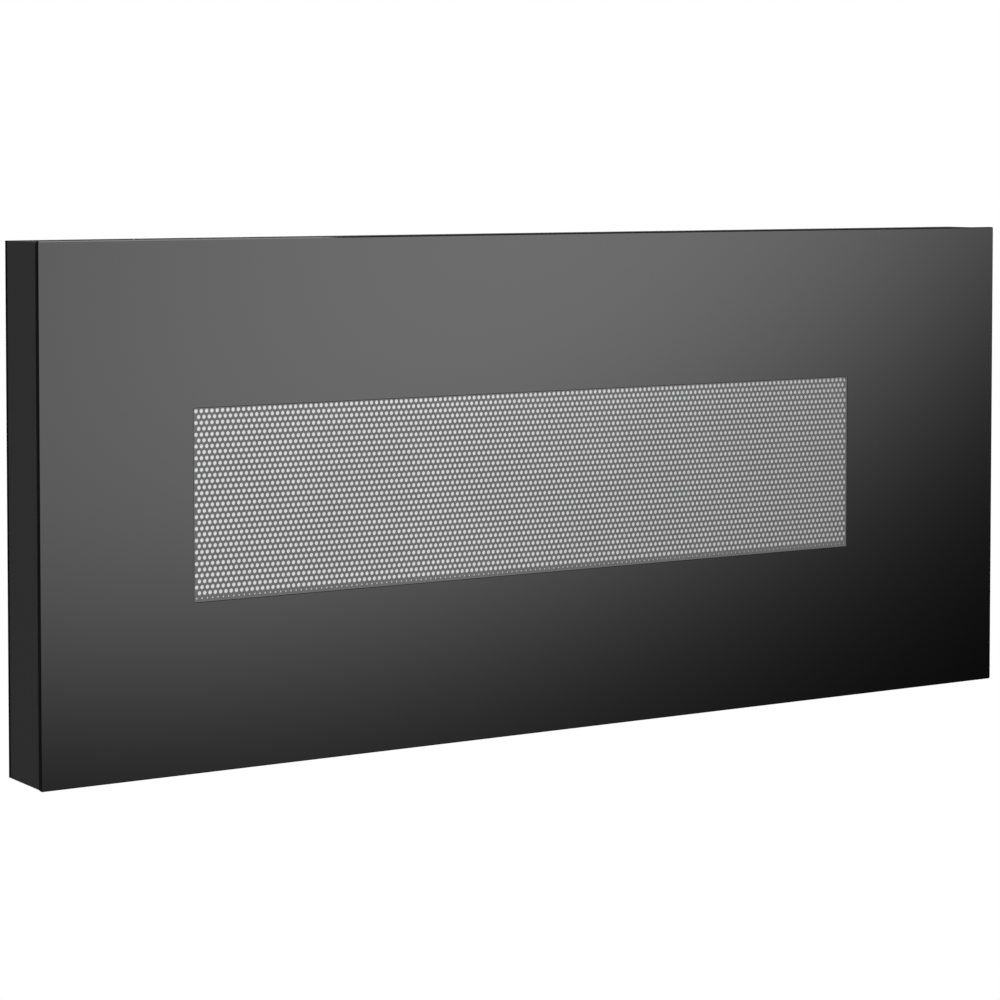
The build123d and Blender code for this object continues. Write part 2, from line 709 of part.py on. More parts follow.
blade_count = 24
disc_thickness = 1.6
disc_xs = spread(blower_x0, blower_x1 - disc_thickness, 4)
with BuildPart() as blower_impeller:
    for disc_x in disc_xs:
        bar_x(disc_x, disc_x + disc_thickness, blower_y, blower_z, blower_radius)
    with BuildSketch(Plane.YZ.offset(blower_x0)):
        with Locations((blower_y, blower_z)):
            with PolarLocations(blower_radius - 4.0, blade_count):
                Rectangle(7.0, 0.8, rotation=28)
    extrude(amount=blower_length)
    bar_x(blower_x0 - 1.0, blower_x1 + 1.0, blower_y, blower_z, shaft_radius, Mode.SUBTRACT)
blower_impeller.part.label = "blower_impeller"
export_step(blower_impeller.part, "parts/blower_impeller.step")

core_x0 = end_right[1] + 10.0
core_length = 20.0
core_x1 = core_x0 + core_length
bearing_x = core_x1 + 20.0
shaft_x0 = end_left[0] - 5.0
shaft_x1 = bearing_x + 4.0
with BuildPart() as impeller_shaft:
    bar_x(shaft_x0, shaft_x1, blower_y, blower_z, shaft_radius)
impeller_shaft.part.label = "impeller_shaft"
export_step(impeller_shaft.part, "parts/impeller_shaft.step")

with BuildPart() as shaft_bushes:
    for end_x in (end_left, end_right):
        middle = (end_x[0] + end_x[1]) / 2
        bar_x(middle - 2.5, middle + 2.5, blower_y, blower_z, shaft_bush_radius)
    bar_x(shaft_x0, shaft_x1, blower_y, blower_z, shaft_radius + running_clearance, Mode.SUBTRACT)
shaft_bushes.part.label = "shaft_bushes"
export_step(shaft_bushes.part, "parts/shaft_bushes.step")

# Shaded-pole motor: laminated core with a rotor bore and a coil window, and a coil on its top bar.
core_half = duct_radius - 2.0
rotor_radius = 14.0
air_gap = 0.4
bar_low = blower_z + 32.0
bar_high = blower_z + 40.0
coil_wall = 7.0
coil_half = 11.0
coil_round = 4.0
with BuildPart() as blower_motor_core:
    block(core_x0, core_x1, blower_y - core_half, blower_y + core_half, blower_z - 20.0, bar_high)
    bar_x(core_x0, core_x1, blower_y, blower_z, rotor_radius + air_gap, Mode.SUBTRACT)
    block(core_x0, core_x1, blower_y - 13.0, blower_y + 13.0, blower_z + 20.0, bar_low, Mode.SUBTRACT)
blower_motor_core.part.label = "blower_motor_core"
export_step(blower_motor_core.part, "parts/blower_motor_core.step")

with BuildPart() as blower_motor_coil:
    coil_ys = (blower_y - coil_half, blower_y + coil_half)
    coil_zs = (bar_low - coil_wall, bar_high + coil_wall)
    block(core_x0 - coil_wall, core_x1 + coil_wall, *coil_ys, *coil_zs)
    fillet(blower_motor_coil.edges().filter_by(Axis.Y), coil_round)
    block(core_x0, core_x1, *coil_ys, bar_low, bar_high, Mode.SUBTRACT)
blower_motor_coil.part.label = "blower_motor_coil"
export_step(blower_motor_coil.part, "parts/blower_motor_coil.step")

with BuildPart() as blower_motor_rotor:
    bar_x(core_x0, core_x1, blower_y, blower_z, rotor_radius)
    bar_x(core_x0, core_x1, blower_y, blower_z, shaft_radius, Mode.SUBTRACT)
blower_motor_rotor.part.label = "blower_motor_rotor"
export_step(blower_motor_rotor.part, "parts/blower_motor_rotor.step")

# A pressed bracket over the core's outer face that carries the shaft's last bearing.
bearing_half_y = 20.0
bearing_half_z = 9.0
bearing_sheet = 1.5
with BuildPart() as motor_bearing_bracket:
    bearing_zs = (blower_z - bearing_half_z, blower_z + bearing_half_z)
    bearing_ys = (blower_y - bearing_half_y, blower_y + bearing_half_y)
    block(bearing_x, bearing_x + bearing_sheet, *bearing_ys, *bearing_zs)
    for side in (-1, 1):
        leg_outer = blower_y + side * bearing_half_y
        leg = sorted((leg_outer, leg_outer - side * bearing_sheet))
        block(core_x1, bearing_x, *leg, *bearing_zs)
    bar_x(bearing_x - 2 * bearing_sheet, bearing_x + 2 * bearing_sheet, blower_y, blower_z, shaft_bush_radius)
    bar_x(core_x1, shaft_x1, blower_y, blower_z, shaft_radius + running_clearance, Mode.SUBTRACT)
motor_bearing_bracket.part.label = "motor_bearing_bracket"
export_step(motor_bearing_bracket.part, "parts/motor_bearing_bracket.step")

# Two layers of resistance wire in a serpentine, threaded through ceramic combs across the duct.
element_radius = 1.2
element_rows = 7
element_bend = 2.8
element_zs = [inner_bottom + 22.0, inner_bottom + 38.0]
element_half = blower_length / 2 - 8.0
element_ys = spread(duct_front + 7.0, duct_back - 7.0, element_rows)
comb_offsets = [-blower_length * 0.36, 0.0, blower_length * 0.36]
comb_sheet = 3.0
with BuildPart() as heating_element:
    for element_z in element_zs:
        corners = []
        for row, row_y in enumerate(element_ys):
            ends = [blower_x - element_half, blower_x + element_half]
            if row % 2:
                ends.reverse()
            corners += [(end, row_y, element_z) for end in ends]
        with BuildLine() as path:
            FilletPolyline(*corners, radius=element_bend)
        with BuildSketch(Plane(origin=corners[0], z_dir=(1, 0, 0))):
            Circle(element_radius)
        sweep(path=path.wires()[0])
heating_element.part.label = "heating_element"
export_step(heating_element.part, "parts/heating_element.step")

with BuildPart() as element_combs:
    for offset_x in comb_offsets:
        x0 = blower_x + offset_x - comb_sheet / 2
        x1 = x0 + comb_sheet
        comb_low = element_zs[0] - 8.0
        comb_high = element_zs[-1] + 8.0
        block(x0, x1, duct_front + duct_sheet, duct_back - duct_sheet, comb_low, comb_high)
        for element_z in element_zs:
            for row_y in element_ys:
                bar_x(x0, x1, row_y, element_z, element_radius + 0.1, Mode.SUBTRACT)
element_combs.part.label = "element_combs"
export_step(element_combs.part, "parts/element_combs.step")

cutout_z = element_zs[-1]
cutout_x1 = end_left[0]
cutout_x0 = cutout_x1 - 9.0
cutout_radius = 8.0
tab_length = 4.0
tab_half_z = 3.0
with BuildPart() as thermal_cutout:
    bar_x(cutout_x0, cutout_x1, blower_y, cutout_z, cutout_radius)
    for tab_y in (blower_y - 6.0, blower_y + 2.0):
        tab_zs = (cutout_z - tab_half_z, cutout_z + tab_half_z)
        block(cutout_x0 - tab_length, cutout_x0, tab_y, tab_y + 4.0, *tab_zs)
thermal_cutout.part.label = "thermal_cutout"
export_step(thermal_cutout.part, "parts/thermal_cutout.step")

# Outlet grille flush with the underside: a frame with tilted blades and three ribs.
slat_count = 6
slat_height = 5.0
grille_rim = 2.0
with BuildPart() as outlet_grille:
    outer = (grille_x0 + grille_clearance, grille_x1 - grille_clearance)
    across = (grille_y0 + grille_clearance, grille_y1 - grille_clearance)
    low = cabinet_bottom
    high = cabinet_bottom + slat_height
    block(*outer, *across, low, high)
    opening_x = (outer[0] + grille_rim, outer[1] - grille_rim)
    opening_y = (across[0] + grille_rim, across[1] - grille_rim)
    block(*opening_x, *opening_y, low, high, Mode.SUBTRACT)
    for slat_y in spread(across[0] + 7.0, across[1] - 7.0, slat_count):
        with Locations(Location((blower_x, slat_y, (low + high) / 2), (25, 0, 0))):
            Box(outer[1] - outer[0] - grille_rim, 1.2, slat_height)
    for rib_x in spread(outer[0], outer[1], 5)[1:-1]:
        block(rib_x - 1.0, rib_x + 1.0, *across, low + 1.0, high)
    block(*outer, *across, high, high + 5.0, Mode.SUBTRACT)
    block(*outer, *across, low - 5.0, low, Mode.SUBTRACT)
outlet_grille.part.label = "outlet_grille"
export_step(outlet_grille.part, "parts/outlet_grille.step")

# ------------------------------------------------------------------ electronics
board_x1 = inner_right - board_side_gap
board_x0 = board_x1 - board_width
board_drop = 42.0
board_z0 = window_z - board_drop
board_z1 = board_z0 + board_height
board_back = rear_inner_y - board_standoff
board_face = board_back - board_thickness
board_y = (board_back + board_face) / 2

with BuildPart() as control_board:
    with BuildSketch(Plane.XZ.offset(-board_back)):
        with Locations(((board_x0 + board_x1) / 2, (board_z0 + board_z1) / 2)):
            RectangleRounded(board_width, board_height, 2.0)
    extrude(amount=board_thickness)
control_board.part.label = "control_board"
export_step(control_board.part, "parts/control_board.step")

button_board_x0 = cabinet_right - 15.0
button_board_x1 = button_board_x0 + board_thickness
button_board_half = bezel_length / 2 + 8.0
with BuildPart() as board_standoffs:
    for point_x in (board_x0 + 6.0, board_x1 - 6.0):
        for point_z in (board_z0 + 6.0, board_z1 - 6.0):
            bar_y(point_x, board_back, rear_inner_y, point_z, 3.5)
    for side in (-1, 1):
        bar_x(button_board_x1, inner_right, control_y, buttons_z + side * (button_board_half - 3.0), 2.5)
board_standoffs.part.label = "board_standoffs"
export_step(board_standoffs.part, "parts/board_standoffs.step")

with BuildPart() as board_relays:
    for relay in range(3):
        relay_x = board_x0 + 12.0 + relay * 27.0
        block(relay_x, relay_x + 19.0, board_face - 15.0, board_face, board_z0 + 14.0, board_z0 + 30.0)
board_relays.part.label = "board_relays"
export_step(board_relays.part, "parts/board_relays.step")

with BuildPart() as board_transformer:
    core_zs = (board_z0 + 50.0, board_z0 + 82.0)
    block(board_x0 + 12.0, board_x0 + 50.0, board_face - 26.0, board_face, *core_zs)
    fillet(board_transformer.edges().filter_by(Axis.Y), 2.0)
board_transformer.part.label = "board_transformer"
export_step(board_transformer.part, "parts/board_transformer.step")

with BuildPart() as board_capacitors:
    for row in range(3):
        bar_y(board_x0 + 70.0, board_face - 22.0, board_face, board_z0 + 52.0 + row * 18.0, 6.3)
board_capacitors.part.label = "board_capacitors"
export_step(board_capacitors.part, "parts/board_capacitors.step")

# Remote-control receiver on the back of the right flange, looking out through the dark glass.
receiver_dome = 3.2
with BuildPart() as remote_receiver:
    board_zs = (receiver_z - 9.0, receiver_z + 9.0)
    block(receiver_x - 6.5, receiver_x + 6.0, flange_back_y, flange_back_y + 1.4, *board_zs)
    bar_y(receiver_x, cabinet_front_y - 0.4, flange_back_y, receiver_z, receiver_dome)
    fillet(remote_receiver.edges().group_by(Axis.Y)[0], 1.2)
remote_receiver.part.label = "remote_receiver"
export_step(remote_receiver.part, "parts/remote_receiver.step")

# ------------------------------------------------------------------ side controls
bezel_depth = 3.2
bezel_back = cabinet_right - bezel_depth
with BuildPart() as button_bezel:
    half_y = bezel_width / 2
    half_z = bezel_length / 2
    bezel_ys = (control_y - half_y, control_y + half_y)
    block(bezel_back, cabinet_right, *bezel_ys, buttons_z - half_z, buttons_z + half_z)
    fillet(button_bezel.edges().filter_by(Axis.X), 1.5)
    block(
        bezel_back, inner_right,
        control_y - half_y - bezel_rim, control_y + half_y + bezel_rim,
        buttons_z - half_z - 1.5, buttons_z + half_z + 1.5,
    )
    for button_z in button_zs:
        bar_x(bezel_back, cabinet_right, control_y, button_z, button_radius + 0.15, Mode.SUBTRACT)
button_bezel.part.label = "button_bezel"
export_step(button_bezel.part, "parts/button_bezel.step")

button_stem_end = button_board_x1 + 6.0
switch_top = button_stem_end - button_travel - 0.2
rim_outer = bezel_back - 0.2
for button_name, button_z in zip(button_names, button_zs):
    with BuildPart() as push_button:
        bar_x(button_stem_end, cabinet_right + button_proud, control_y, button_z, button_radius)
        fillet(push_button.edges().group_by(Axis.X)[-1], 0.6)
        bar_x(rim_outer - 1.2, rim_outer, control_y, button_z, button_radius + 1.2)
    push_button.part.label = f"button_{button_name}"
    export_step(push_button.part, f"parts/button_{button_name}.step")

with BuildPart() as button_board:
    block(
        button_board_x0, button_board_x1, control_y - 8.0, control_y + 8.0,
        buttons_z - button_board_half, buttons_z + button_board_half,
    )
    for button_z in button_zs:
        switch_zs = (button_z - 3.0, button_z + 3.0)
        block(button_board_x1, switch_top - 1.0, control_y - 3.0, control_y + 3.0, *switch_zs)
        bar_x(switch_top - 1.0, switch_top, control_y, button_z, 1.7)
button_board.part.label = "button_board"
export_step(button_board.part, "parts/button_board.step")

# Mains rocker switch: a snap-in frame with a well, and a rocker that turns on two small pins.
pivot_x = cabinet_right - 3.5
well_half_z = rocker_radius + 1.0
well_half_y = rocker_width / 2 + 0.2
pin_radius = 1.2
pin_reach = 5.8
with BuildPart() as rocker_frame:
    half_y = rocker_frame_width / 2
    half_z = rocker_frame_length / 2
    block(cabinet_right - 20.0, cabinet_right, control_y - half_y, control_y + half_y, rocker_z - half_z,
          rocker_z + half_z)
    block(pivot_x - 9.5, cabinet_right, control_y - well_half_y, control_y + well_half_y,
          rocker_z - well_half_z, rocker_z + well_half_z, Mode.SUBTRACT)
    bar_y(pivot_x, control_y - pin_reach - 0.1, control_y + pin_reach + 0.1, rocker_z,
          pin_radius + running_clearance, Mode.SUBTRACT)
rocker_frame.part.label = "rocker_frame"
export_step(rocker_frame.part, "parts/rocker_frame.step")

rocker_face = 2.8
tilt = radians(rocker_tilt)
rocker_plane = Plane(origin=(pivot_x, control_y, rocker_z), x_dir=(cos(tilt), 0, sin(tilt)), z_dir=(0, -1, 0))
with BuildPart() as rocker:
    with BuildSketch(rocker_plane):
        Circle(rocker_radius)
        with Locations((rocker_face + rocker_radius, 0)):
            Rectangle(2 * rocker_radius, 2 * rocker_radius, mode=Mode.SUBTRACT)
        with Locations((-5.0 - rocker_radius, 0)):
            Rectangle(2 * rocker_radius, 2 * rocker_radius, mode=Mode.SUBTRACT)
    extrude(amount=rocker_width / 2, both=True)
    bar_y(pivot_x, control_y - pin_reach, control_y + pin_reach, rocker_z, pin_radius)
rocker.part.label = "rocker"
export_step(rocker.part, "parts/rocker.step")

# ------------------------------------------------------------------ mains inlet and wiring
cavity_half_x = 12.2
cavity_half_y = 8.2
cavity_depth = 16.0
cavity_roof = cabinet_bottom + cavity_depth
inlet_tab = 3.0
inlet_top = cabinet_bottom + inlet_height
with BuildPart() as mains_inlet:
    inlet_ys = (control_y - inlet_half_y, control_y + inlet_half_y)
    cavity_ys = (control_y - cavity_half_y, control_y + cavity_half_y)
    tab_zs = (inner_bottom, inner_bottom + inlet_tab)
    block(inlet_x - inlet_half_x, inlet_x + inlet_half_x, *inlet_ys, cabinet_bottom, inlet_top)
    cavity_xs = (inlet_x - cavity_half_x, inlet_x + cavity_half_x)
    block(*cavity_xs, *cavity_ys, cabinet_bottom, cavity_roof, Mode.SUBTRACT)
    block(inlet_x - inlet_half_x - inlet_tab, inlet_x - inlet_half_x, *inlet_ys, *tab_zs)
    block(inlet_x + inlet_half_x, inlet_x + inlet_half_x + inlet_tab, *inlet_ys, *tab_zs)
mains_inlet.part.label = "mains_inlet"
export_step(mains_inlet.part, "parts/mains_inlet.step")

pin_places = [(-7.0, -2.0), (7.0, -2.0), (0.0, 2.0)]
with BuildPart() as inlet_pins:
    for offset_x, offset_y in pin_places:
        pin_x = inlet_x + offset_x
        pin_y = control_y + offset_y
        block(pin_x - 1.0, pin_x + 1.0, pin_y - 2.0, pin_y + 2.0, cabinet_bottom + 2.0, cavity_roof)
inlet_pins.part.label = "inlet_pins"
export_step(inlet_pins.part, "parts/inlet_pins.step")

lead_x = board_x1 + 13.0
lead_y = rear_inner_y - 7.0
mains_radius = 3.5
lead_radius = 2.2
signal_radius = 1.4
element_side_z = element_zs[0] + 8.0
motor_lead_z = bar_low + 4.0
motor_lead_x = (board_x0 + motor_x0 + motor_length) / 2
led_lead_x = (board_x0 + chamber_x1) / 2
leads = [
    (mains_radius, 7.0, [
        (inlet_x, control_y, inlet_top),
        (inlet_x, control_y, inlet_top + 60.0),
        (lead_x, lead_y, inlet_top + 120.0),
        (lead_x, lead_y, rocker_z - 45.0),
        (lead_x - 6.0, control_y, rocker_z),
        (cabinet_right - 20.0, control_y, rocker_z),
    ]),
    (lead_radius, 8.0, [
        (board_x0 + 20.0, board_y, board_z0),
        (board_x0 + 20.0, board_y, board_z0 - 90.0),
        (board_x0 - 40.0, blower_y, motor_lead_z),
        (core_x1 + coil_wall, blower_y, motor_lead_z),
    ]),
    (lead_radius, 8.0, [
        (board_x0 + 60.0, board_y, board_z0),
        (board_x0 + 60.0, board_y, board_z0 - 150.0),
        (board_x0 + 10.0, blower_y, element_side_z),
        (end_right[1], blower_y, element_side_z),
    ]),
    (signal_radius, 4.0, [
        (board_x0, board_y, board_z0 + 40.0),
        (motor_lead_x, board_y, board_z0 + 40.0),
        (motor_lead_x, rod_y, rod_z),
        (motor_x0 + motor_length, rod_y, rod_z),
    ]),
    (signal_radius, 4.0, [
        (board_x0, board_y, board_z0 + 100.0),
        (led_lead_x, board_y, board_z0 + 100.0),
        (led_lead_x, board_y, chamber_z1 - led_top_gap),
        (chamber_x1, board_y, chamber_z1 - led_top_gap),
    ]),
    (signal_radius, 3.0, [
        (board_x1, board_y, buttons_z),
        (board_x1 + 10.0, board_y, buttons_z),
        (button_board_x0 - 8.0, control_y, buttons_z),
        (button_board_x0, control_y, buttons_z),
    ]),
]
with BuildPart() as wiring_harness:
    for radius, bend, corners in leads:
        with BuildLine() as path:
            FilletPolyline(*corners, radius=bend)
        first = Vector(*corners[1]) - Vector(*corners[0])
        with BuildSketch(Plane(origin=corners[0], z_dir=first)):
            Circle(radius)
        sweep(path=path.wires()[0])
wiring_harness.part.label = "wiring_harness"
export_step(wiring_harness.part, "parts/wiring_harness.step")

clip_zs = spread(inlet_top + 150.0, rocker_z - 75.0, 3)
with BuildPart() as cable_clips:
    for clip_z in clip_zs:
        block(lead_x - 6.0, lead_x + 6.0, lead_y - 5.5, rear_inner_y, clip_z - 4.0, clip_z + 4.0)
        bar_z(lead_x, lead_y, clip_z - 4.0, clip_z + 4.0, mains_radius + running_clearance, Mode.SUBTRACT)
cable_clips.part.label = "cable_clips"
export_step(cable_clips.part, "parts/cable_clips.step")
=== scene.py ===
"""Wall-hung electric fireplace: finishes, perforated window screen, fasteners, light and camera.

Everything is in metres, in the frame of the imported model: x to the right as seen from the room,
y into the wall, z up.
"""

import bmesh
import bpy
import json
import math
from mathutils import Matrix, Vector


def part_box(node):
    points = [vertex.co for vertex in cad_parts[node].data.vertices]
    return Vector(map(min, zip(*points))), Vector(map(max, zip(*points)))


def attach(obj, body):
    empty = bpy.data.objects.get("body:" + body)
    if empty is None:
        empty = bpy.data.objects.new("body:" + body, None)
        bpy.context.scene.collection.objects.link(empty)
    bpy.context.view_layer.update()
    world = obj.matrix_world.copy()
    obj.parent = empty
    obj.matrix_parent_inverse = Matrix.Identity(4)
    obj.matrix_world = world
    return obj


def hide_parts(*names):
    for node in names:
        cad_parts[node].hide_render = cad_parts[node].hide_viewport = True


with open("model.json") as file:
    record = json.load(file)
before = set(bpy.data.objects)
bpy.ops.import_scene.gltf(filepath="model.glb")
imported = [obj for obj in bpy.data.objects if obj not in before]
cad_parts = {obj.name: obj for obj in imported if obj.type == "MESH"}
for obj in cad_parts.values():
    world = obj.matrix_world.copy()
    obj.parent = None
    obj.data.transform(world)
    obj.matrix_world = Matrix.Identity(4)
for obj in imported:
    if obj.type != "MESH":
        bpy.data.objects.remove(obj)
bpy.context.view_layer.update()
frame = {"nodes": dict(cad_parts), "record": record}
nodes = frame["nodes"]
record = frame["record"]
MM = 0.001


# ------------------------------------------------------------------ node-tree helpers
NOISE_LOW = 0.3
NOISE_HIGH = 0.7


class Nodes:
    """A node tree under construction, emptied first."""

    def __init__(self, tree):
        self.tree = tree
        self.tree.nodes.clear()

    def add(self, kind, **settings):
        node = self.tree.nodes.new(kind)
        for key, value in settings.items():
            setattr(node, key, value)
        return node

    def link(self, source, output, target, entry):
        self.tree.links.new(source.outputs[output], target.inputs[entry])

    def remap(self, source, output, start, end, low=0.0, high=1.0):
        """Maps start..end of a value to low..high."""
        node = self.add("ShaderNodeMapRange")
        node.inputs["From Min"].default_value = start
        node.inputs["From Max"].default_value = end
        node.inputs["To Min"].default_value = low
        node.inputs["To Max"].default_value = high
        self.link(source, output, node, "Value")
        return node

    def split(self, source, output):
        """The x, y and z of a vector."""
        node = self.add("ShaderNodeSeparateXYZ")
        self.link(source, output, node, "Vector")
        return node


class Shader(Nodes):
    """A material under construction, with its Principled shader and its object coordinates."""

    def __init__(self, name):
        self.material = bpy.data.materials.new(name)
        self.material.use_nodes = True
        super().__init__(self.material.node_tree)
        output = self.add("ShaderNodeOutputMaterial")
        self.surface = self.add("ShaderNodeBsdfPrincipled")
        self.link(self.surface, "BSDF", output, "Surface")
        self.place = self.add("ShaderNodeTexCoord")

    def set(self, **values):
        for key, value in values.items():
            self.surface.inputs[key.replace("_", " ")].default_value = value

    def stretched(self, stretch):
        """Object coordinates scaled by axis."""
        mapping = self.add("ShaderNodeMapping")
        mapping.inputs["Scale"].default_value = stretch
        self.link(self.place, "Object", mapping, "Vector")
        return mapping

    def noise(self, scale, detail=2.0, roughness=0.5, stretch=(1.0, 1.0, 1.0)):
        texture = self.add("ShaderNodeTexNoise")
        texture.inputs["Scale"].default_value = scale
        texture.inputs["Detail"].default_value = detail
        texture.inputs["Roughness"].default_value = roughness
        self.link(self.stretched(stretch), "Vector", texture, "Vector")
        return texture

    def ramp(self, source, output, stops):
        """A colour ramp with (position, colour) stops."""
        node = self.add("ShaderNodeValToRGB")
        elements = node.color_ramp.elements
        while len(elements) < len(stops):
            elements.new(0.5)
        for element, (position, colour) in zip(elements, stops):
            element.position = position
            element.color = (*colour, 1.0)
        self.link(source, output, node, "Fac")
        return node

    def spread(self, source, output, low, high):
        """Maps a texture's middle range to low..high."""
        return self.remap(source, output, NOISE_LOW, NOISE_HIGH, low, high)

    def bump(self, source, output, strength, distance):
        node = self.add("ShaderNodeBump")
        node.inputs["Strength"].default_value = strength
        node.inputs["Distance"].default_value = distance
        self.link(source, output, node, "Height")
        self.link(node, "Normal", self.surface, "Normal")


def shade(colour, factor):
    """A colour made lighter or darker."""
    return tuple(min(1.0, channel * factor) for channel in colour)


BROAD_SCALE = 9.0
GLOSS_SPREAD = 0.06
LEAST_ROUGHNESS = 0.02


def finish(name, colour, rough, grain, tone=0.12, metal=0.0, relief=0.25, depth=0.05,
           stretch=(1, 1, 1), **extra):
    """A surface with colour variation, uneven gloss and a fine grain.

    grain is the grain's size in millimetres, depth its height in millimetres.
    """
    shader = Shader(name)
    fine = shader.noise(1.0 / (grain * MM), 3.0, 0.6, stretch)
    broad = shader.noise(BROAD_SCALE, 4.0, 0.55)
    stops = ((NOISE_LOW, shade(colour, 1 - tone)), (NOISE_HIGH, shade(colour, 1 + tone)))
    paint = shader.ramp(fine, "Fac", stops)
    shader.link(paint, "Color", shader.surface, "Base Color")
    smoothest = max(LEAST_ROUGHNESS, rough - GLOSS_SPREAD)
    roughest = min(1.0, rough + GLOSS_SPREAD)
    gloss = shader.spread(broad, "Fac", smoothest, roughest)
    shader.link(gloss, "Result", shader.surface, "Roughness")
    shader.bump(fine, "Fac", relief, depth * MM)
    shader.set(Metallic=metal, **extra)
    return shader


# ------------------------------------------------------------------ finishes
GLASS_BLACK = (0.0022, 0.0022, 0.0023)
GLASS_EDGE_TINT = (0.005, 0.0055, 0.0052)
GLASS_FACE_TURN = -0.95
GLASS_EDGE_TURN = -0.6
GLASS_SMEAR_SCALE = 14.0
GLASS_ROUGHNESS = (0.035, 0.06)
GLASS_RIPPLE_SCALE = 3.0
GLASS_RIPPLE = 0.03
GLASS_RIPPLE_HEIGHT = 0.2 * MM


def black_glass():
    """Polished glass painted black behind: deep, glossy, faintly smeared, paler at its ground edges."""
    shader = Shader("black_glass")
    smears = shader.noise(GLASS_SMEAR_SCALE, 5.0, 0.62, (1.0, 1.0, 2.5))
    gloss = shader.spread(smears, "Fac", *GLASS_ROUGHNESS)
    shader.link(gloss, "Result", shader.surface, "Roughness")
    turn = shader.split(shader.add("ShaderNodeNewGeometry"), "Normal")
    edge = shader.remap(turn, "Y", GLASS_FACE_TURN, GLASS_EDGE_TURN)
    tint = shader.ramp(edge, "Result", ((0.0, GLASS_BLACK), (1.0, GLASS_EDGE_TINT)))
    shader.link(tint, "Color", shader.surface, "Base Color")
    ripple = shader.noise(GLASS_RIPPLE_SCALE, 1.0, 0.4)
    shader.bump(ripple, "Fac", GLASS_RIPPLE, GLASS_RIPPLE_HEIGHT)
    shader.set(IOR=1.5)
    return shader.material


def powder_paint(name, colour, rough, grain=0.9):
    """Baked powder paint: a fine orange-peel surface."""
    return finish(name, colour, rough, grain, tone=0.10, relief=0.35, depth=0.05, IOR=1.45)


def powder_coat(name, colour, rough, grain=0.9):
    return powder_paint(name, colour, rough, grain).material


CHARCOAL = (0.043, 0.043, 0.044)
CHARCOAL_ROUGHNESS = 0.55
# Painted shadow line: the box's sides turn black over their last few millimetres before the wall, standing
# in for the shade there.
PAINTED_SHADOW_LINE_FRONT = -6.5 * MM
PAINTED_SHADOW_LINE_BLEND = 0.2 * MM
PAINTED_SHADOW_LINE_BLACK = (0.003, 0.003, 0.003, 1)
BACK_TURN = 0.6
SIDE_TURN = 0.4


def charcoal_paint():
    """The box's powder paint, with a painted shadow line: black painted along its outer edge where it
    meets the wall, in place of the shade there.
    """
    shader = powder_paint("charcoal_paint", CHARCOAL, CHARCOAL_ROUGHNESS)
    paint = shader.surface.inputs["Base Color"].links[0].from_node
    place = shader.split(shader.place, "Object")
    near_wall = shader.remap(place, "Y", PAINTED_SHADOW_LINE_FRONT, PAINTED_SHADOW_LINE_FRONT + PAINTED_SHADOW_LINE_BLEND)
    turn = shader.split(shader.add("ShaderNodeNewGeometry"), "Normal")
    off_back = shader.remap(turn, "Y", BACK_TURN, SIDE_TURN)
    # Painted shade: black mixed in near the wall, on faces that don't face the wall.
    painted_shadow_line = shader.add("ShaderNodeMath", operation="MULTIPLY")
    shader.link(near_wall, "Result", painted_shadow_line, 0)
    shader.link(off_back, "Result", painted_shadow_line, 1)
    mix = shader.add("ShaderNodeMixRGB")
    mix.inputs["Color2"].default_value = PAINTED_SHADOW_LINE_BLACK
    shader.link(painted_shadow_line, "Value", mix, "Fac")
    shader.link(paint, "Color", mix, "Color1")
    shader.link(mix, "Color", shader.surface, "Base Color")
    return shader.material


ZINC = (0.56, 0.57, 0.59)
SPANGLE_DARK = (0.37, 0.38, 0.395)
SPANGLE_PALE = (0.42, 0.43, 0.445)
SPANGLE_SCALE = 90.0


def plated_sheet():
    """Zinc-plated sheet with soft cloudy spangle."""
    shader = finish("zinc_steel", ZINC, 0.36, 0.5, tone=0.06, metal=0.6, relief=0.15, depth=0.02)
    cells = shader.add("ShaderNodeTexVoronoi")
    cells.inputs["Scale"].default_value = SPANGLE_SCALE
    shader.link(shader.stretched((1, 1, 1)), "Vector", cells, "Vector")
    tone = shader.ramp(cells, "Distance", ((0.1, SPANGLE_DARK), (0.7, SPANGLE_PALE)))
    shader.link(tone, "Color", shader.surface, "Base Color")
    return shader.material


def brushed(name, colour, rough):
    """Metal with fine lines along x."""
    return finish(name, colour, rough, 0.35, tone=0.08, metal=1.0, relief=0.3, depth=0.02,
                  stretch=(0.03, 1, 1)).material


def moulded(name, colour, rough, grain=0.35):
    """Moulded plastic with a spark-eroded skin."""
    return finish(name, colour, rough, grain, tone=0.07, relief=0.3, depth=0.03, IOR=1.48).material


TRACK_SCALE = 160.0
TRACK_WIDTH = 0.03


def circuit(name, colour, trace):
    """Solder-masked board with a maze of paler tracks."""
    shader = finish(name, colour, 0.35, 0.6, tone=0.05, relief=0.1, depth=0.02)
    maze = shader.add("ShaderNodeTexBrick")
    maze.inputs["Scale"].default_value = TRACK_SCALE
    maze.inputs["Color1"].default_value = (*colour, 1)
    maze.inputs["Color2"].default_value = (*shade(colour, 0.8), 1)
    maze.inputs["Mortar"].default_value = (*trace, 1)
    maze.inputs["Mortar Size"].default_value = TRACK_WIDTH
    turned = shader.add("ShaderNodeMapping")
    turned.inputs["Rotation"].default_value = (math.radians(90), 0, 0)
    shader.link(shader.place, "Object", turned, "Vector")
    shader.link(turned, "Vector", maze, "Vector")
    shader.link(maze, "Color", shader.surface, "Base Color")
    return shader.material


OPAL = (0.55, 0.55, 0.55)
# Painted glow: the opal emits its own light, fading from left to right as painted shade.
PAINTED_GLOW_STRENGTH = 0.34
PAINTED_GLOW_FALL = ((0.0, 1.0), (0.35, 0.98), (1.0, 0.38))
DIFFUSER_CLOUD_SCALE = 22.0
DIFFUSER_CLOUDS = (0.95, 1.03)


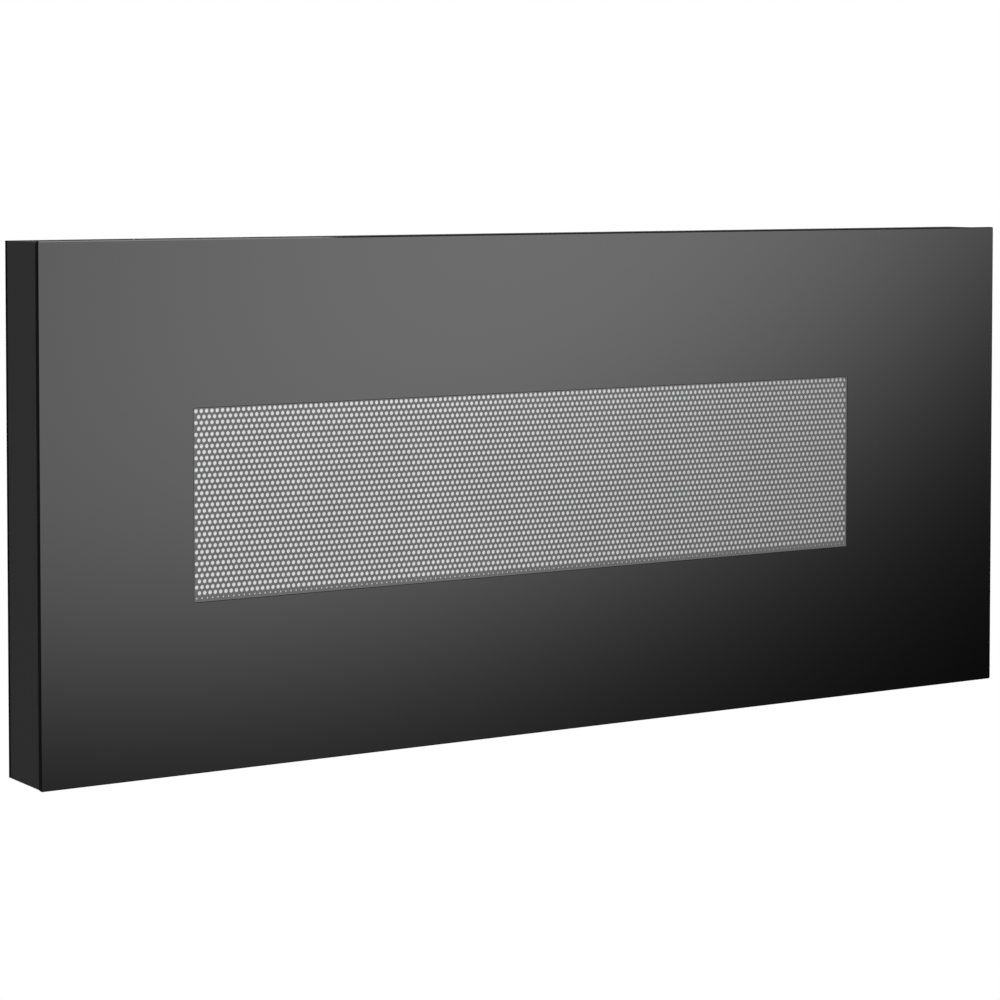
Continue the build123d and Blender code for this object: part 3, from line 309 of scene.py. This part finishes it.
def opal_painted_glow():
    """Opal acrylic with a painted glow of its own in place of the light behind it, darker towards the
    right as painted shade.
    """
    shader = finish("opal_acrylic", OPAL, 0.45, 1.2, tone=0.03, relief=0.1, depth=0.02)
    low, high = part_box("light_diffuser")
    along = shader.remap(shader.split(shader.place, "Object"), "X", low.x, high.x)
    stops = [(position, (level, level, level)) for position, level in PAINTED_GLOW_FALL]
    glow = shader.ramp(along, "Result", stops)
    clouds = shader.noise(DIFFUSER_CLOUD_SCALE, 2.0, 0.5)
    patch = shader.spread(clouds, "Fac", *DIFFUSER_CLOUDS)
    mix = shader.add("ShaderNodeMixRGB", blend_type="MULTIPLY")
    mix.inputs["Fac"].default_value = 1.0
    shader.link(glow, "Color", mix, "Color1")
    shader.link(patch, "Result", mix, "Color2")
    shader.link(mix, "Color", shader.surface, "Emission Color")
    shader.set(Emission_Strength=PAINTED_GLOW_STRENGTH)
    return shader.material


FINISHES = {
    "black_glass": black_glass(),
    "charcoal_paint": charcoal_paint(),
    "black_paint": powder_coat("black_paint", (0.006, 0.006, 0.0065), 0.6),
    "screen_paint": powder_coat("screen_paint", (0.15, 0.15, 0.153), 0.48, 0.6),
    "zinc_steel": plated_sheet(),
    "bright_steel": brushed("bright_steel", (0.62, 0.62, 0.63), 0.22),
    "foil": brushed("foil", (0.88, 0.88, 0.89), 0.12),
    "flame_mask_paint": powder_coat("flame_mask_paint", (0.62, 0.62, 0.61), 0.6),
    "impeller_aluminium": brushed("impeller_aluminium", (0.62, 0.63, 0.64), 0.32),
    "laminated_steel": finish("laminated_steel", (0.30, 0.30, 0.31), 0.4, 0.5, metal=0.9,
                              stretch=(1, 0.05, 0.05), relief=0.5, depth=0.1).material,
    "coil_wire": finish("coil_wire", (0.50, 0.20, 0.08), 0.3, 0.4, metal=0.8, stretch=(1, 0.1, 0.1),
                        relief=0.6, depth=0.15).material,
    "nickel_wire": brushed("nickel_wire", (0.40, 0.37, 0.34), 0.45),
    "ceramic": moulded("ceramic", (0.82, 0.80, 0.75), 0.6, 0.8),
    "opal_acrylic": opal_painted_glow(),
    "white_board": circuit("white_board", (0.82, 0.82, 0.80), (0.70, 0.70, 0.66)),
    "green_board": circuit("green_board", (0.02, 0.13, 0.05), (0.05, 0.26, 0.11)),
    "relay_plastic": moulded("relay_plastic", (0.04, 0.10, 0.28), 0.4),
    "transformer_resin": moulded("transformer_resin", (0.70, 0.55, 0.16), 0.35),
    "capacitor_sleeve": moulded("capacitor_sleeve", (0.02, 0.03, 0.07), 0.25),
    "black_plastic": moulded("black_plastic", (0.018, 0.018, 0.019), 0.48),
    "grey_button": moulded("grey_button", (0.075, 0.075, 0.08), 0.4),
    "rocker_plastic": moulded("rocker_plastic", (0.014, 0.014, 0.015), 0.22),
    "white_nylon": moulded("white_nylon", (0.78, 0.77, 0.73), 0.5),
    "rubber": moulded("rubber", (0.02, 0.02, 0.02), 0.75, 0.5),
    "brass_pins": brushed("brass_pins", (0.74, 0.66, 0.46), 0.28),
    "lead_jacket": moulded("lead_jacket", (0.03, 0.03, 0.032), 0.55, 0.3),
}

for part in record["subparts"]:
    mesh = nodes[part["node"]].data
    mesh.materials.clear()
    mesh.materials.append(FINISHES[part["material_slot"]])


# ------------------------------------------------------------------ mesh helpers
WELD_GRID = 1e7


class Welded:
    """Collects faces by corner position and shares equal corners."""

    def __init__(self):
        self.index = {}
        self.vertices = []
        self.faces = []

    def corner(self, point):
        key = tuple(round(value * WELD_GRID) for value in point)
        if key not in self.index:
            self.index[key] = len(self.vertices)
            self.vertices.append(point)
        return self.index[key]

    def face(self, points):
        self.faces.append([self.corner(point) for point in points])


SHARP_ANGLE = math.radians(40)


def make_piece(name, shells, body, slot_name):
    """A piece of one or more closed shells that rides on a body and takes a slot's finish."""
    vertices = []
    faces = []
    for shell in shells:
        offset = len(vertices)
        vertices += shell.vertices
        faces += [[index + offset for index in face] for face in shell.faces]
    mesh = bpy.data.meshes.new(name)
    mesh.from_pydata(vertices, [], faces)
    mesh.validate()
    solid = bmesh.new()
    solid.from_mesh(mesh)
    bmesh.ops.recalc_face_normals(solid, faces=solid.faces)
    solid.to_mesh(mesh)
    solid.free()
    mesh.polygons.foreach_set("use_smooth", [True] * len(mesh.polygons))
    mesh.set_sharp_from_angle(angle=SHARP_ANGLE)
    mesh.materials.append(FINISHES[slot_name])
    piece = bpy.data.objects.new(name, mesh)
    bpy.context.scene.collection.objects.link(piece)
    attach(piece, body)
    return piece


# ------------------------------------------------------------------ perforated window screen
SCREEN_SHEET = 1.0 * MM
SCREEN_WALL = 0.9 * MM
SCREEN_LIP = 10.0 * MM
HOLE_RADIUS = 2.25 * MM
LAST_ROW_RADIUS = 1.05 * MM
LAST_ROW_RISE = 0.7 * MM
HOLE_SIDES = 12
HOLE_COLUMNS = 140
HOLE_ROWS = 33
FILM_THICKNESS = 0.5 * MM
FILM_GAP = 0.02 * MM
FILM_MARGIN = 0.3 * MM
BEND_CUT = 0.3
FILM_CORNER = 4.0 * MM
FILM_CORNER_STEPS = 6


def hole_outline(radius):
    """Corners of a round hole from its top, clockwise, and back to the top."""
    angles = [2 * math.pi / HOLE_SIDES * step for step in range(HOLE_SIDES + 1)]
    return [(radius * math.sin(angle), radius * math.cos(angle)) for angle in angles]


def perforated_sheet(mesh, x0, x1, z0, z1, y_front, y_back):
    """A sheet with staggered rows of round holes, and a last row of small ones along its foot."""
    pitch_x = (x1 - x0) / HOLE_COLUMNS
    pitch_z = (z1 - z0) / HOLE_ROWS
    half_x = pitch_x / 2
    half_z = pitch_z / 2
    half_turn = HOLE_SIDES // 2

    def flat(corners, y):
        mesh.face([(x, y, z) for x, z in corners])

    def pierced_cell(cx, low, high, ring, hole_z, y):
        """The plate round one hole, as a right and a left half."""
        right = [(cx + dx, hole_z + dz) for dx, dz in ring[: half_turn + 1]]
        left = [(cx + dx, hole_z + dz) for dx, dz in ring[half_turn:]]
        flat([(cx, high)] + right + [(cx, low), (cx + half_x, low), (cx + half_x, high)], y)
        flat([(cx, low)] + left + [(cx, high), (cx - half_x, high), (cx - half_x, low)], y)

    for row in range(HOLE_ROWS):
        high = z1 - pitch_z * row
        low = high - pitch_z
        last = row == HOLE_ROWS - 1
        ring = hole_outline(LAST_ROW_RADIUS if last else HOLE_RADIUS)
        hole_z = high - half_z + (LAST_ROW_RISE if last else 0.0)
        odd = row % 2
        for column in range(HOLE_COLUMNS - odd):
            cx = x0 + half_x * odd + pitch_x * (column + 0.5)
            pierced_cell(cx, low, high, ring, hole_z, y_front)
            pierced_cell(cx, low, high, ring, hole_z, y_back)
            for (ax, az), (bx, bz) in zip(ring, ring[1:]):
                mesh.face([(cx + ax, y_front, hole_z + az), (cx + ax, y_back, hole_z + az),
                           (cx + bx, y_back, hole_z + bz), (cx + bx, y_front, hole_z + bz)])
        if odd:
            for ax in (x0, x1 - half_x):
                for y in (y_front, y_back):
                    flat([(ax, low), (ax + half_x, low), (ax + half_x, high), (ax, high)], y)
        for x in (x0, x1):
            mesh.face([(x, y_front, low), (x, y_front, high), (x, y_back, high), (x, y_back, low)])
    for step in range(2 * HOLE_COLUMNS):
        ax = x0 + half_x * step
        bx = ax + half_x
        for z in (z0, z1):
            mesh.face([(ax, y_front, z), (bx, y_front, z), (bx, y_back, z), (ax, y_back, z)])


def swept_frame(mesh, x0, x1, z0, z1, profile):
    """A closed profile of (outward offset, y) points swept round a rectangle with mitred corners."""
    corners = [(x0, z0, -1, -1), (x1, z0, 1, -1), (x1, z1, 1, 1), (x0, z1, -1, 1)]
    for (ax, az, sax, saz), (bx, bz, sbx, sbz) in zip(corners, corners[1:] + corners[:1]):
        for (oa, ya), (ob, yb) in zip(profile, profile[1:] + profile[:1]):
            mesh.face([(ax + sax * oa, ya, az + saz * oa), (bx + sbx * oa, ya, bz + sbz * oa),
                       (bx + sbx * ob, yb, bz + sbz * ob), (ax + sax * ob, yb, az + saz * ob)])


def window_screen():
    """The perforated sheet, and behind it the walls and lip of its shallow tray."""
    low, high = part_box("window_screen")
    x0, x1 = low.x + SCREEN_LIP, high.x - SCREEN_LIP
    z0, z1 = low.z + SCREEN_LIP, high.z - SCREEN_LIP
    y_face = low.y
    y_inner = y_face + SCREEN_SHEET
    sheet = Welded()
    perforated_sheet(sheet, x0, x1, z0, z1, y_face, y_inner)
    lip_front = high.y - SCREEN_SHEET
    bend = SCREEN_SHEET
    cut = bend * BEND_CUT
    profile = [(0, y_inner), (0, lip_front - bend), (cut, lip_front - cut), (bend, lip_front),
               (SCREEN_LIP, lip_front), (SCREEN_LIP, high.y), (-SCREEN_WALL, high.y),
               (-SCREEN_WALL, y_inner)]
    walls = Welded()
    swept_frame(walls, x0, x1, z0, z1, profile)
    piece = make_piece("window_screen_perforated", [sheet, walls], "front_panel", "screen_paint")
    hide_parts("window_screen")
    return x0 + SCREEN_WALL, x1 - SCREEN_WALL, z0 + SCREEN_WALL, z1 - SCREEN_WALL, y_inner


def backing_film(x0, x1, z0, z1, y_sheet):
    """A thin opal film against the back of the perforated sheet, with rounded corners, carrying the opal's
    painted glow into every hole.
    """
    y0 = y_sheet + FILM_GAP
    y1 = y0 + FILM_THICKNESS
    inset = FILM_MARGIN + FILM_CORNER
    centres = [(x1 - inset, z1 - inset, 0), (x0 + inset, z1 - inset, 1), (x0 + inset, z0 + inset, 2),
               (x1 - inset, z0 + inset, 3)]
    outline = []
    for cx, cz, quarter in centres:
        for step in range(FILM_CORNER_STEPS + 1):
            angle = math.pi / 2 * (quarter + step / FILM_CORNER_STEPS)
            outline.append((cx + FILM_CORNER * math.cos(angle), cz + FILM_CORNER * math.sin(angle)))
    film = Welded()
    for y in (y0, y1):
        film.face([(x, y, z) for x, z in outline])
    for (ax, az), (bx, bz) in zip(outline, outline[1:] + outline[:1]):
        film.face([(ax, y0, az), (bx, y0, bz), (bx, y1, bz), (ax, y1, az)])
    make_piece("window_backing_film", [film], "front_panel", "opal_acrylic")


backing_film(*window_screen())


# ------------------------------------------------------------------ screws
ISLAND_GRID = 1e6


def islands(name):
    """The box of each separate solid in a node's mesh."""
    mesh = nodes[name].data
    parent = {}
    place = {}
    for vertex in mesh.vertices:
        key = tuple(round(value * ISLAND_GRID) for value in vertex.co)
        place[vertex.index] = key
        parent.setdefault(key, key)

    def root(key):
        while parent[key] != key:
            parent[key] = parent[parent[key]]
            key = parent[key]
        return key

    for edge in mesh.edges:
        a, b = root(place[edge.vertices[0]]), root(place[edge.vertices[1]])
        if a != b:
            parent[a] = b
    groups = {}
    for vertex in mesh.vertices:
        groups.setdefault(root(place[vertex.index]), []).append(vertex.co)
    boxes = []
    for points in groups.values():
        low = Vector(min(p[axis] for p in points) for axis in range(3))
        high = Vector(max(p[axis] for p in points) for axis in range(3))
        boxes.append((low, high))
    return sorted(boxes, key=lambda pair: tuple(round(value, 5) for value in pair[0]))


def nearest_side(point, loop):
    """The index of the loop's corner that is nearest to a point."""
    distances = [(corner[0] - point[0]) ** 2 + (corner[2] - point[2]) ** 2 for corner in loop]
    return distances.index(min(distances))


HEAD_RINGS = 5
HEAD_SIDES = 32
HEAD_EDGE = 0.25
HEAD_FLATTENING = 0.7
RECESS_HALF = 0.13
RECESS_REACH = 0.55
RECESS_MARGIN = 1.05
RECESS_TAPER = 0.6
SEAT_RADIUS = 0.97
EDGE_RISE = 0.1
POINT_RADIUS = 0.15
POINT_LENGTH = 0.35


def pan_head_screw(mesh, centre_x, centre_z, y_seat, y_top, y_tip, head_radius, shank_radius):
    """A pan-head screw along y with a crossed recess in its domed head and a pointed shank."""
    rise = y_top - y_seat
    slot_half = head_radius * RECESS_HALF
    slot_reach = head_radius * RECESS_REACH
    outline = []
    for ring in range(HEAD_RINGS + 1):
        angle = math.pi / 2 * ring / HEAD_RINGS
        reach = head_radius * math.cos(angle) ** HEAD_FLATTENING if ring < HEAD_RINGS else 0.0
        outline.append((reach, y_seat + rise * (HEAD_EDGE + (1 - HEAD_EDGE) * math.sin(angle))))
    rings = [(shank_radius * POINT_RADIUS, y_tip), (shank_radius, y_tip + (y_seat - y_tip) * POINT_LENGTH),
             (shank_radius, y_seat), (head_radius * SEAT_RADIUS, y_seat),
             (head_radius, y_seat + rise * EDGE_RISE)]
    rings += [point for point in outline if point[0] > slot_reach * RECESS_MARGIN]
    cross = []
    for arm in range(4):
        angle = math.pi / 2 * arm
        axis = (math.cos(angle), math.sin(angle))
        side = (-axis[1], axis[0])
        for along, across in ((slot_reach, -slot_half), (slot_reach, slot_half), (slot_half, slot_half)):
            cross.append((axis[0] * along + side[0] * across, axis[1] * along + side[1] * across))

    def circle(radius, y):
        points = []
        for side in range(HEAD_SIDES):
            angle = 2 * math.pi * side / HEAD_SIDES
            points.append((centre_x + radius * math.cos(angle), y, centre_z + radius * math.sin(angle)))
        return points

    loops = [circle(*ring) for ring in rings]
    mesh.face(loops[0])
    for inner, outer in zip(loops, loops[1:]):
        for side in range(HEAD_SIDES):
            following = (side + 1) % HEAD_SIDES
            mesh.face([inner[side], outer[side], outer[following], inner[following]])
    crown_y = rings[-1][1] + rise * 0.1
    top = [(centre_x + dx, crown_y, centre_z + dz) for dx, dz in cross]
    floor_y = y_seat + rise * HEAD_EDGE
    floor = [(centre_x + dx * RECESS_TAPER, floor_y, centre_z + dz * RECESS_TAPER) for dx, dz in cross]
    last = loops[-1]
    spans = [nearest_side(point, last) for point in top]
    for index in range(len(top)):
        following = (index + 1) % len(top)
        a, b = spans[index], spans[following]
        count = (b - a) % HEAD_SIDES
        arc = [last[(a + k) % HEAD_SIDES] for k in range(count + 1)]
        mesh.face([top[index]] + arc + [top[following]])
        mesh.face([top[index], top[following], floor[following], floor[index]])
    mesh.face(floor)


SCREW_HEAD = 2.0 * MM
SCREW_SHANK = 1.5 * MM


def rear_screws():
    """Detailed pan-head screws in place of the plain ones that hold the back."""
    shells = []
    for low, high in islands("rear_screws"):
        screw = Welded()
        seat = high.y - SCREW_HEAD
        centre_x, centre_z = (low.x + high.x) / 2, (low.z + high.z) / 2
        head_radius = (high.x - low.x) / 2
        pan_head_screw(screw, centre_x, centre_z, seat, high.y, low.y, head_radius, SCREW_SHANK)
        shells.append(screw)
    piece = make_piece("rear_screws_cross_recessed", shells, "cabinet", "zinc_steel")
    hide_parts("rear_screws")


rear_screws()


# ------------------------------------------------------------------ stage, light and camera
def stage_plane(name, x0, x1, far_edge, near_edge, material):
    """A rectangle between two edges, each given by the y and z of its line along x."""
    (y0, z0), (y1, z1) = near_edge, far_edge
    mesh = bpy.data.meshes.new(name)
    mesh.from_pydata([(x0, y0, z0), (x1, y0, z0), (x1, y1, z1), (x0, y1, z1)], [], [(0, 1, 2, 3)])
    mesh.materials.append(material)
    plane = bpy.data.objects.new(name, mesh)
    bpy.context.scene.collection.objects.link(plane)
    return plane


FLOOR_Z = -1.35
FLOOR_HALF = 30.0
FLOOR_TONE = (0.6, 0.6, 0.6, 1)
WHITE = (1, 1, 1, 1)


def pale_floor():
    """A plain pale floor, as bright to the eye as the studio round it."""
    material = bpy.data.materials.new("pale_floor")
    material.use_nodes = True
    tree = Nodes(material.node_tree)
    output = tree.add("ShaderNodeOutputMaterial")
    mix = tree.add("ShaderNodeMixShader")
    path = tree.add("ShaderNodeLightPath")
    matt = tree.add("ShaderNodeBsdfDiffuse")
    matt.inputs["Color"].default_value = FLOOR_TONE
    glow = tree.add("ShaderNodeEmission")
    glow.inputs["Color"].default_value = WHITE
    tree.link(path, "Is Camera Ray", mix, "Fac")
    tree.link(matt, "BSDF", mix, 1)
    tree.link(glow, "Emission", mix, 2)
    tree.link(mix, "Shader", output, "Surface")
    floor = stage_plane("floor", -FLOOR_HALF, FLOOR_HALF, (FLOOR_HALF, FLOOR_Z), (-FLOOR_HALF, FLOOR_Z),
                        material)
    floor.visible_glossy = False
    floor.visible_diffuse = False


AMBIENT_LEVEL = 0.42
MIRROR_LEVEL = 0.03


def studio_world():
    """White behind everything, softer for the light it gives, and dim in reflections."""
    world = bpy.data.worlds.new("studio")
    bpy.context.scene.world = world
    world.use_nodes = True
    tree = Nodes(world.node_tree)
    output = tree.add("ShaderNodeOutputWorld")
    path = tree.add("ShaderNodeLightPath")
    levels = []
    for level in (1.0, AMBIENT_LEVEL, MIRROR_LEVEL):
        background = tree.add("ShaderNodeBackground")
        background.inputs["Color"].default_value = WHITE
        background.inputs["Strength"].default_value = level
        levels.append(background)
    behind, ambient, mirrored = levels
    lit = tree.add("ShaderNodeMixShader")
    seen = tree.add("ShaderNodeMixShader")
    tree.link(path, "Is Glossy Ray", lit, "Fac")
    tree.link(ambient, "Background", lit, 1)
    tree.link(mirrored, "Background", lit, 2)
    tree.link(path, "Is Camera Ray", seen, "Fac")
    tree.link(lit, "Shader", seen, 1)
    tree.link(behind, "Background", seen, 2)
    tree.link(seen, "Shader", output, "Surface")


CAMERA = Vector((-1.8446, -2.8578, 0.1986))
CAMERA_YAW = math.radians(32.423)
CAMERA_PITCH = math.radians(-2.594)
CAMERA_LENS = 109.01
CAMERA_SENSOR = 36.0
CAMERA_RISE = -0.2
CARD_Y = -2.0
CARD_HALF = 2.6
CARD_BELOW = 1.2
CARD_ABOVE = 1.7
GLASS_MIRROR = 0.0445
GLOW_LEVEL = 0.1645
GLOW_MIDDLE = -0.047
GLOW_FALL = 0.872
FADE_LEVEL = -0.0564
FADE_SLOPE = 0.299
FADE_CURVE = 0.248
FADE_SOFTNESS = 0.1002
FADE_SOFTENING = 0.037
CARD_TOP = 0.613
CARD_TOP_SOFTNESS = 0.08
CARD_REACH = 1.1
CARD_REACH_SOFTNESS = 0.07


def glow_card():
    """A big soft light in front of the glass, to the right, fading downwards and towards its sides.

    It stands where the glass mirrors it to the camera. Its brightness is given as it should appear on
    the glass, by x and by height over the glass's middle, and carried to the card along the mirrored
    lines of sight.
    """
    low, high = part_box("front_glass")
    glass_y = low.y
    middle_z = (low.z + high.z) / 2
    mirrored_y = 2 * glass_y - CAMERA.y
    ratio = (mirrored_y - CARD_Y) / (mirrored_y - glass_y)
    zero_x = CAMERA.x - CAMERA.x * ratio
    zero_z = CAMERA.z + (middle_z - CAMERA.z) * ratio
    material = bpy.data.materials.new("glow_card")
    material.use_nodes = True
    tree = Nodes(material.node_tree)

    def calculate(operation, *values):
        """A math node's result, from numbers and other nodes' results."""
        node = tree.add("ShaderNodeMath", operation=operation)
        for entry, value in enumerate(values):
            if isinstance(value, float):
                node.inputs[entry].default_value = value
            else:
                tree.tree.links.new(value, node.inputs[entry])
        return node.outputs["Value"]

    def rise(distance, softness):
        """Zero well below the start, one well above it."""
        power = calculate("EXPONENT", calculate("MULTIPLY", calculate("DIVIDE", distance, softness), -1.0))
        return calculate("DIVIDE", 1.0, calculate("ADD", power, 1.0))

    place = tree.split(tree.add("ShaderNodeTexCoord"), "Object")
    across = calculate("DIVIDE", calculate("SUBTRACT", place.outputs["X"], zero_x), ratio)
    upward = calculate("DIVIDE", calculate("SUBTRACT", place.outputs["Z"], zero_z), ratio)
    aside = calculate("SUBTRACT", across, GLOW_MIDDLE)
    spread = calculate("MULTIPLY", calculate("MULTIPLY", aside, aside), -GLOW_FALL)
    sides = calculate("EXPONENT", spread)
    bend = calculate("ADD", calculate("MULTIPLY", across, FADE_CURVE), FADE_SLOPE)
    start = calculate("ADD", calculate("MULTIPLY", across, bend), FADE_LEVEL)
    softness = calculate("ADD", calculate("MULTIPLY", across, FADE_SOFTENING), FADE_SOFTNESS)
    foot = rise(calculate("SUBTRACT", upward, start), softness)
    head = rise(calculate("SUBTRACT", CARD_TOP, upward), CARD_TOP_SOFTNESS)
    ends = rise(calculate("SUBTRACT", CARD_REACH, calculate("ABSOLUTE", across)), CARD_REACH_SOFTNESS)
    tall = calculate("MULTIPLY", foot, head)
    level = calculate("MULTIPLY", calculate("MULTIPLY", sides, ends), tall)
    strength = calculate("MULTIPLY", level, GLOW_LEVEL / GLASS_MIRROR)
    glow = tree.add("ShaderNodeEmission")
    tree.tree.links.new(strength, glow.inputs["Strength"])
    output = tree.add("ShaderNodeOutputMaterial")
    tree.link(glow, "Emission", output, "Surface")
    card = stage_plane("glow_card", zero_x - CARD_HALF, zero_x + CARD_HALF, (CARD_Y, zero_z + CARD_ABOVE),
                       (CARD_Y, zero_z - CARD_BELOW), material)
    card.visible_camera = False
    card.visible_diffuse = False
    card.visible_shadow = False


def photo_camera():
    camera = bpy.data.cameras.new("camera")
    camera.lens = CAMERA_LENS
    camera.sensor_width = CAMERA_SENSOR
    camera.shift_y = CAMERA_RISE
    thing = bpy.data.objects.new("camera", camera)
    bpy.context.scene.collection.objects.link(thing)
    thing.location = CAMERA
    thing.rotation_euler = (math.pi / 2 + CAMERA_PITCH, 0, -CAMERA_YAW)
    bpy.context.scene.camera = thing


def soft_light(name, location, target, size, power, mirrored=True):
    """A rectangular lamp aimed at a point; one that isn't mirrored leaves no highlight."""
    lamp = bpy.data.lights.new(name, "AREA")
    lamp.shape = "RECTANGLE"
    lamp.size, lamp.size_y = size
    lamp.energy = power
    thing = bpy.data.objects.new(name, lamp)
    bpy.context.scene.collection.objects.link(thing)
    thing.location = location
    direction = Vector(target) - thing.location
    thing.rotation_euler = direction.to_track_quat("-Z", "Y").to_euler()
    thing.visible_glossy = mirrored


FRONT_MIDDLE = (0, 0, -0.15)
LEFT_END = (-0.6, 0, -0.15)
RIGHT_END = (0.6, 0, -0.1)
TOP_MIDDLE = (0, 0, 0)

photo_camera()
pale_floor()
studio_world()
glow_card()
soft_light("left_light", (-6.0, -1.6, 0.2), LEFT_END, (2.4, 2.4), 55, mirrored=False)
soft_light("front_light", (-1.8, -3.6, 2.2), FRONT_MIDDLE, (2.0, 1.2), 52)
soft_light("right_light", (3.6, 0.2, 0.3), RIGHT_END, (1.6, 2.2), 45)
soft_light("back_light", (0.2, 3.2, 1.8), FRONT_MIDDLE, (1.6, 1.6), 240, mirrored=False)
soft_light("top_light", (0.3, -0.3, 3.0), TOP_MIDDLE, (2.0, 1.2), 30)
bpy.context.scene.view_settings.view_transform = "Standard"
